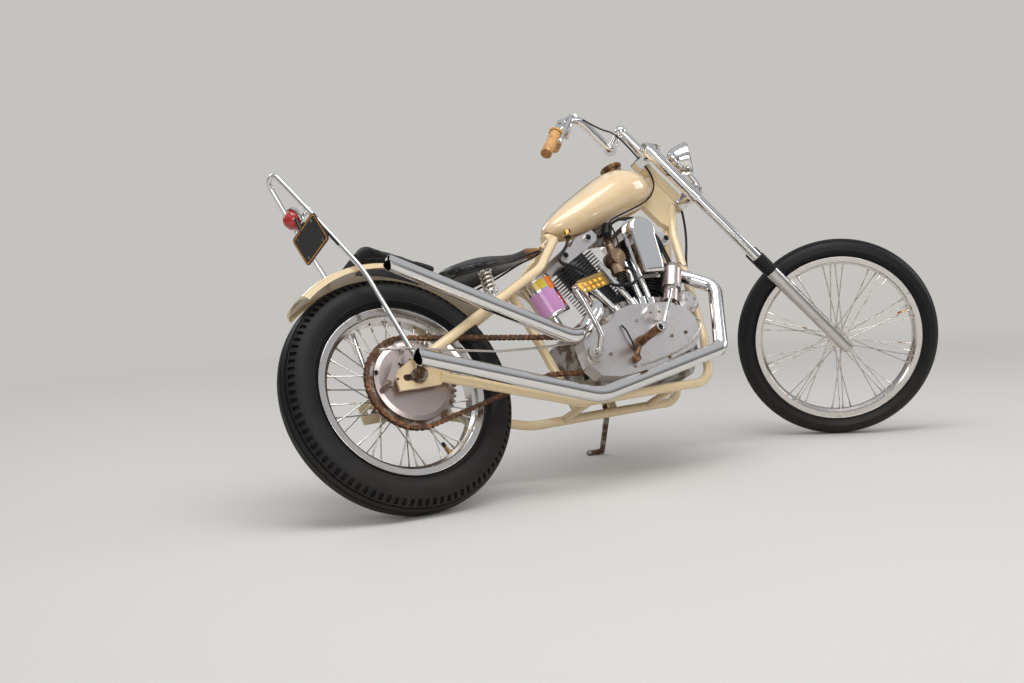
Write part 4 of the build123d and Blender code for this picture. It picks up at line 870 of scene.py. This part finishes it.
for number, (here, there) in enumerate(zip(pins, pins[1:] + pins[:1])):
    inside, outside = ((0.0040, 0.0054), (0.0060, 0.0074))[number % 2]
    for side in (-1, 1):
        plate = waisted(here, there, 0.0070, 0.0050)
        prism(mesh, plate, chain_side + side * inside, chain_side + side * outside)
    on_sprocket = any(hypot(here.x - c[0], here.y - c[1]) < r + 0.014 for c, r, _ in circles[:2])
    if on_sprocket:
        rods = [(-0.0085, -0.0038, 0.0027, 8), (0.0038, 0.0085, 0.0027, 8)]
    else:
        rods = [(-0.0085, 0.0085, 0.0027, 8), (-0.0038, 0.0038, 0.0050, 10)]
    for near, far, radius, sides in rods:
        ends = [(here.x, chain_side + off, here.y) for off in (near, far)]
        bar(mesh, *ends, radius, sides=sides)
chain_loop = piece("chain_links", mesh, "chain_rust", "frame")
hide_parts("chain")
print("pitches:", pitches, "faces:", len(chain_loop.data.polygons))

# %% [markdown]
# ## Nuts, screws and bolts
# The covers are held by slotted screws and the rest by hexagon nuts. Two heads are built once at
# unit size. The table then reads like a service sheet: where, which side, which head, how large.

# %% Nuts, screws and bolts
slotted = bmesh.new()
lathe(slotted, [(0, 0), (1, 0), (1, 0.45), (0.96, 0.52), (0, 0.52)], steps=24)
for half in (-1, 1):
    arc = [(half * cos(radians(a)) * 0.94, sin(radians(a)) * 0.94) for a in range(-80, 81, 20)]
    raised = bmesh.new()
    prism(raised, arc, 0.50, 0.78)
    stamp(slotted, raised, Matrix.Rotation(radians(90), 4, "X") @ Matrix.Scale(-1, 4, (0, 1, 0)))
    raised.free()
hexagon = bmesh.new()
bar(hexagon, (0, 0, 0), (0, 0, 0.62), 1, sides=6)
bar(hexagon, (0, 0, 0.55), (0, 0, 1.05), 0.46, 0.40)
washer = bmesh.new()
bar(washer, (0, 0, -0.06), (0, 0, 0.06), 1.25, sides=20)


def at(x, y, z):
    """Point of the upright machine, given in millimetres."""
    return Vector((x, y, z)) / 1000


def around(x, z, radius, angles):
    """Rows for small screws round a circle on the left cover."""
    spots = [(x + radius * cos(radians(a)), z + radius * sin(radians(a)), a) for a in angles]
    return [(round(across), 136, round(high), 5, a) for across, high, a in spots]


heads = {
    # name of the piece: finish, head, then rows of x, side of the face, height, radius and turn
    "gearcase_screws": ("dull_steel", slotted, [
        (617, -146, 434, 5.5, 20), (763, -146, 423, 5.5, 70), (874, -146, 363, 5.5, 10),
        (932, -146, 369, 5.5, 50), (628, -146, 327, 5.5, 30), (935, -146, 467, 5.5, 80),
        (700, -146, 282, 5.5, 15), (838, -146, 296, 5.5, 65)]),
    "timer_screws": ("dull_steel", slotted, [(812, -160, 439, 3.4, 0), (846, -160, 439, 3.4, 40)]),
    "generator_screws": ("dull_steel", slotted, [
        (1005, -119, 486, 4, 30), (1037, -119, 486, 4, 75), (1021, -119, 502, 3, 0)]),
    "rocker_bolts": ("black_enamel", hexagon, [
        (635.9, -82, 682.9, 7.5, 10), (741.9, -82, 739.2, 7.5, 25), (933.4, -82, 757.2, 7.5, 5),
        (1048.2, -82, 722.2, 7.5, 40)]),
    "axle_nuts": ("dull_steel", hexagon, [
        (0, -136, 334, 17.5, 12), (0, -153, 334, 15.5, 40), (0, 136, 334, 17.5, 5), (0, 156, 334, 15.5, 15)]),
    "brake_plate_bolts": ("dull_steel", hexagon, [
        (-24, -106, 377, 6, 10), (6, -106, 388, 6, 35), (-98, -150, 316, 9, 20), (-38, -150, 404, 7, 0)]),
    "shift_nut": ("dull_steel", hexagon, [(832, -166, 388, 8.5, 20)]),
    "kick_nut": ("dull_steel", hexagon, [(566, -167, 328, 10, 10)]),
    "primary_screws": ("dull_steel", slotted,
                       around(690, 345, 76, range(110, 271, 40)) + around(875, 361, 72, range(-80, 81, 40))),
}
for name, (made, head, rows) in heads.items():
    mesh = bmesh.new()
    for x, face, z, radius, turn in rows:
        place = aimed(at(x, face, z), (0, -1 if face < 0 else 1, 0))
        place = place @ Matrix.Rotation(radians(turn), 4, "Z") @ Matrix.Scale(radius / 1000, 4)
        stamp(mesh, head, place)
        if head is hexagon:
            stamp(mesh, washer, place)
    piece(name, mesh, made, "frame")

# %% [markdown]
# ## Round trim
# Beads, rings and caps are the same idea again: a small outline turned about an axis, on the oil
# can, the fork, the headlight, the filler cap and the tail light. `assembled` makes one piece of
# several such shapes, from rows that say which shape it is and what it needs.

# %% Round trim
def ring(mesh, middle, along, radius, thickness):
    """Adds a round-section ring."""
    turns = [radians(a) for a in range(0, 360, 36)]
    outline = [(radius + thickness * cos(t), thickness * sin(t)) for t in turns]
    lathe(mesh, outline + [outline[0]], aimed(middle, along))


def assembled(name, made, parts, body="frame", where=bike):
    """One piece from rows of a shape's helper and what that helper needs."""
    mesh = bmesh.new()
    for shape, *needs in parts:
        shape(mesh, *needs)
    piece(name, mesh, made, body, where)


can_up = Vector((sin(can_tilt), 0, cos(can_tilt)))
can_foot = at(582, 0, 509)
can_neck = [(0, 0.134), (0.024, 0.134), (0.024, 0.138), (0.0215, 0.140), (0.0215, 0.152), (0.019, 0.155),
            (0, 0.155)]
assembled("can_rims", "chrome", [
    (ring, can_foot + can_up * 0.010, can_up, 0.0565, 0.0022),
    (ring, can_foot + can_up * 0.124, can_up, 0.0565, 0.0022),
    (lathe, can_neck, aimed(can_foot, can_up), 32)])

ridges = [0.346 + step * 0.008 for step in range(8)]
cap_outline = [(0, 0.926), (0.019, 0.926), (0.019, 0.930), (0.016, 0.933), (0, 0.934)]
bolt_spots = [(fork_offset + off, up) for up in (0.707, 0.905) for off in (-0.031, 0.031)]
for name, side in (("right", -0.097), ("left", 0.097)):
    assembled("seal_ridges_" + name, "rubber", [
        (ring, on_fork(fork_offset, side, up), steer_up, 0.0225, 0.0024) for up in ridges], "fork", fork)
    low, high = on_fork(fork_offset, side, 0.933), on_fork(fork_offset, side, 0.941)
    assembled("fork_cap_" + name, "chrome", [
        (lathe, cap_outline, aimed(on_fork(fork_offset, side, 0), steer_up), 32),
        (bar, low, high, 0.012, 0.011, 6)], "fork", fork)
    assembled("tree_bolts_" + name, "dull_steel", [
        (bar, on_fork(forward, side * 0.84, up), on_fork(forward, side * 1.16, up), 0.0045, None, 6)
        for forward, up in bolt_spots], "fork", fork)

lamp_out = Vector((0.998, 0, 0.06)).normalized()
lamp_back = on_fork(0.098, 0, 0.818)
bezel = [(0.050, 0.029), (0.0575, 0.029), (0.0585, 0.034), (0.056, 0.040), (0.051, 0.042), (0.049, 0.038),
         (0.050, 0.029)]
lamp_place = aimed(lamp_back, lamp_out)
assembled("headlight_bezel", "chrome", [(lathe, bezel, lamp_place, 48)], "fork", fork)
pane = [(0, 0.0425), (0.020, 0.0435), (0.038, 0.0415), (0.049, 0.037), (0.049, 0.035), (0, 0.0415)]
assembled("headlight_glass", "lamp_glass", [(lathe, pane, lamp_place, 48)], "fork", fork)
rim = lamp_back + lamp_out * 0.034
outwards = [Vector((0, cos(radians(angle)), sin(radians(angle)))) for angle in (20, 160, 270)]
assembled("headlight_screws", "dull_steel", [
    (bar, rim + out * 0.057, rim + out * 0.062, 0.003, None, 10) for out in outwards], "fork", fork)

cap_node = frame["nodes"]["tank_cap"]
cap_points = [cap_node.matrix_world @ v.co for v in cap_node.data.vertices]
cap_middle = bike.inverted() @ (sum(cap_points, Vector()) / len(cap_points))
cap_tilt = radians(9)
tank_up = Vector((-sin(cap_tilt), 0, cos(cap_tilt)))
mesh = bmesh.new()
lathe(mesh, [(0, 0.002), (0.028, 0.002), (0.028, 0.011), (0.034, 0.011), (0.036, 0.014), (0.036, 0.021),
             (0.034, 0.024), (0.026, 0.026), (0, 0.027)], aimed(cap_middle, tank_up), 40)
ribs = 24
for number in range(ribs):
    rib = Matrix.Rotation(2 * pi * number / ribs, 4, "Z") @ Matrix.Translation((0.0360, 0, 0.0175))
    bmesh.ops.create_cone(mesh, cap_ends=True, segments=6, radius1=0.0014, radius2=0.0014, depth=0.007,
                          matrix=aimed(cap_middle, tank_up) @ rib)
piece("tank_cap_disc", mesh, "rusty_steel", "frame")

lens_out = Vector((-0.93, 0, -0.37)).normalized()
lens_back = at(-162, 0, 884)
cup = [(0, -0.002), (0.0335, -0.002), (0.0350, 0.001), (0.0350, 0.0085), (0.0325, 0.0105), (0.0322, 0.001),
       (0, 0.001)]
assembled("tail_light_base", "chrome", [(lathe, cup, aimed(lens_back, lens_out), 40)])
assembled("tail_light_ribs", "red_lens", [
    (ring, lens_back + lens_out * along, lens_out, radius - 0.0008, 0.0014)
    for along, radius in ((0.0150, 0.0282), (0.0215, 0.0258), (0.0280, 0.0230))])

# %% [markdown]
# ## Plate border and painted shade in holes
# The number plate stays blank: an amber line round its edge and four bolts are all it gets. The
# line is a flat strip between two rounded rectangles. Drilled holes in the brake plate and its arm
# are thin black discs: painted shade, which is all that a hole this small shows.

# %% Plate border and painted shade in holes
def rounded(half_wide, half_high, radius):
    """Corners of a rounded rectangle, as (x, y) points."""
    points = []
    for turn_by, x, y in ((0, 1, 1), (90, -1, 1), (180, -1, -1), (270, 1, -1)):
        for a in range(0, 91, 15):
            points.append((x * (half_wide - radius) + radius * cos(radians(turn_by + a)),
                           y * (half_high - radius) + radius * sin(radians(turn_by + a))))
    return points


plate_turn = (Matrix.Translation((-0.163, -0.055, 0.790)) @ Matrix.Rotation(radians(-5), 4, "X")
              @ Matrix.Rotation(radians(-15), 4, "Y") @ Matrix.Rotation(radians(7), 4, "Z"))
mesh = bmesh.new()
inset, width = 0.0035, 0.0030
outer = rounded(0.070 - inset, 0.045 - inset, 0.012 - inset)
inner = rounded(0.070 - inset - width, 0.045 - inset - width, 0.012 - inset - width / 2)
rows = [(-0.0013, outer), (-0.0021, outer), (-0.0021, inner), (-0.0013, inner)]
rings = [[mesh.verts.new(plate_turn @ Vector((high, y, z))) for y, z in line] for high, line in rows]
for one, other in zip(rings, rings[1:] + rings[:1]):
    for corner in range(len(one)):
        after = (corner + 1) % len(one)
        mesh.faces.new((one[corner], one[after], other[after], other[corner]))
piece("plate_border", mesh, "amber_paint", "frame")
dome = [(0, 0), (0.0042, 0), (0.0040, 0.0016), (0.0026, 0.0026), (0, 0.0030)]
assembled("plate_bolts", "dull_steel", [
    (lathe, dome, plate_turn @ aimed((-0.0014, across, high), (-1, 0, 0)), 16)
    for across in (-0.045, 0.045) for high in (-0.031, 0.031)])
# Black discs standing in for the holes: painted shade.
assembled("painted_shade_holes", "black_hose", [
    (bar, at(x, side + 1.2, z), at(x, side, z), radius / 1000, None, 20)
    for x, side, z, radius in ((-103, -106.3, 368, 6), (-70, -150.3, 327, 3.6), (-55, -150.3, 368, 3.6))])

# %% [markdown]
# ## Exhaust flanges
# Where a pipe leaves its head a flange clamps it to the port: one more turned outline, aimed from
# the head's middle out through the port.

# %% Exhaust flanges
flange = [(0.0235, -0.012), (0.031, -0.012), (0.0325, -0.009), (0.0325, -0.001), (0.029, 0.003),
          (0.0235, 0.003), (0.0235, -0.012)]
ports = [(at(664, -62, 566), at(703.3, -30, 609.5)), (at(1030, -64, 606), at(996.2, -30, 637.7))]
assembled("exhaust_flanges", "chrome", [
    (lathe, flange, aimed(port, (port - inward).normalized()), 36) for port, inward in ports])

# %% [markdown]
# ## Cables and pipes
# A cable that ends on the turned front end and starts on the frame has to bend as the bar turns. Here it is
# made as one mesh that rides on no body.

# %% Cables and pipes
pipes = {
    # name: radius, finish, points in millimetres
    "thin_cable": (0.0026, "black_hose", [
        (697, -150, 412), (705, -156, 394), (706, -157, 372), (714, -155, 348), (716, -150, 330)]),
    "steel_oil_pipe": (0.0028, "spoke_steel", [
        (725, -146, 283), (781, -152, 290), (880, -152, 312), (938, -152, 336), (985, -152, 369),
        (1004, -150, 394), (1006, -140, 408), (1006, -120, 420)]),
    "orange_wire": (0.0013, "chain_rust", [
        (1044, -66, 640), (1062, -74, 628), (1080, -70, 640), (1096, -62, 622), (1112, -60, 632)]),
}
for name, (radius, made, points) in pipes.items():
    hose(name, [at(*p) for p in points], radius, made, "frame")
assembled("petcock", "brass", [
    (bar, at(700, -40, 764), at(704, -38, 786), 0.0075, 0.0095, 6),
    (bar, at(700, -40, 764), at(698, -41, 752), 0.0050, None, 12),
    (bar, at(700, -52, 769), at(700, -34, 769), 0.0055, None, 12),
    (bar, at(700, -52, 769), at(664, -56, 758), 0.0028, 0.0022, 8)])
assembled("bright_rings", "spoke_steel", [
    (ring, at(745, -258.2, 354), (0, -1, 0), 0.0102, 0.0018),
    (ring, at(566, -146.6, 328), (0, -1, 0), 0.0235, 0.0022)])
# Black discs inside the bright rings: painted shade where the recesses are.
assembled("painted_shade_recesses", "black_hose", [
    (bar, at(745, -258.0, 354), at(745, -258.6, 354), 0.0085, None, 20),
    (bar, at(566, -146.2, 328), at(566, -147.2, 328), 0.0205, None, 28)])


def crossing(name, points, radius, made):
    """Cable from the frame to the front end, given by its points in millimetres."""
    line = hose(name, [at(*p) for p in points], radius, made, "frame")
    line.parent = None
    line.matrix_world = Matrix.Identity(4)
    del line["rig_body"]
    data = bpy.data.meshes.new_from_object(line.evaluated_get(bpy.context.evaluated_depsgraph_get()))
    slot = line["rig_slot"]
    bpy.data.objects.remove(line)
    data.shade_smooth()
    made_of_mesh = bpy.data.objects.new(name, data)
    scene.collection.objects.link(made_of_mesh)
    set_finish(made_of_mesh, slot)
    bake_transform(made_of_mesh)
    print(name, "faces:", len(data.polygons))


throttle_run = [
    (846, -84, 690), (856, -78, 760), (861, -50, 805), (914, -60, 823), (1010, -60, 856), (1071, -50, 886),
    (1131, -30, 945), (1139, -20, 1001), (1106, -30, 1042), (986, -90, 1110), (875, -150, 1084),
    (778, -200, 1088),
]
lamp_run = [
    (1150, -16, 640), (1158, -14, 662), (1197, -12, 743), (1220, -10, 819), (1232, -5, 880), (1240, 0, 925),
]
crossing("throttle_cable", throttle_run, 0.0028, "black_hose")
crossing("lamp_cable", lamp_run, 0.0040, "black_hose")

# %% [markdown]
# ## Last words
# The two boxes, before and after dressing, are printed side by side, as how far each corner moved.
# Nothing solid may stick out of the CAD model's own box.

# %% Last words: sizes
bpy.context.view_layer.update()
dressed_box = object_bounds()
for label, before, after in zip(("low corner", "high corner"), cad_box, dressed_box):
    print(label, "moved by mm:", [round((b - a) * 1000, 1) for a, b in zip(before, after)])
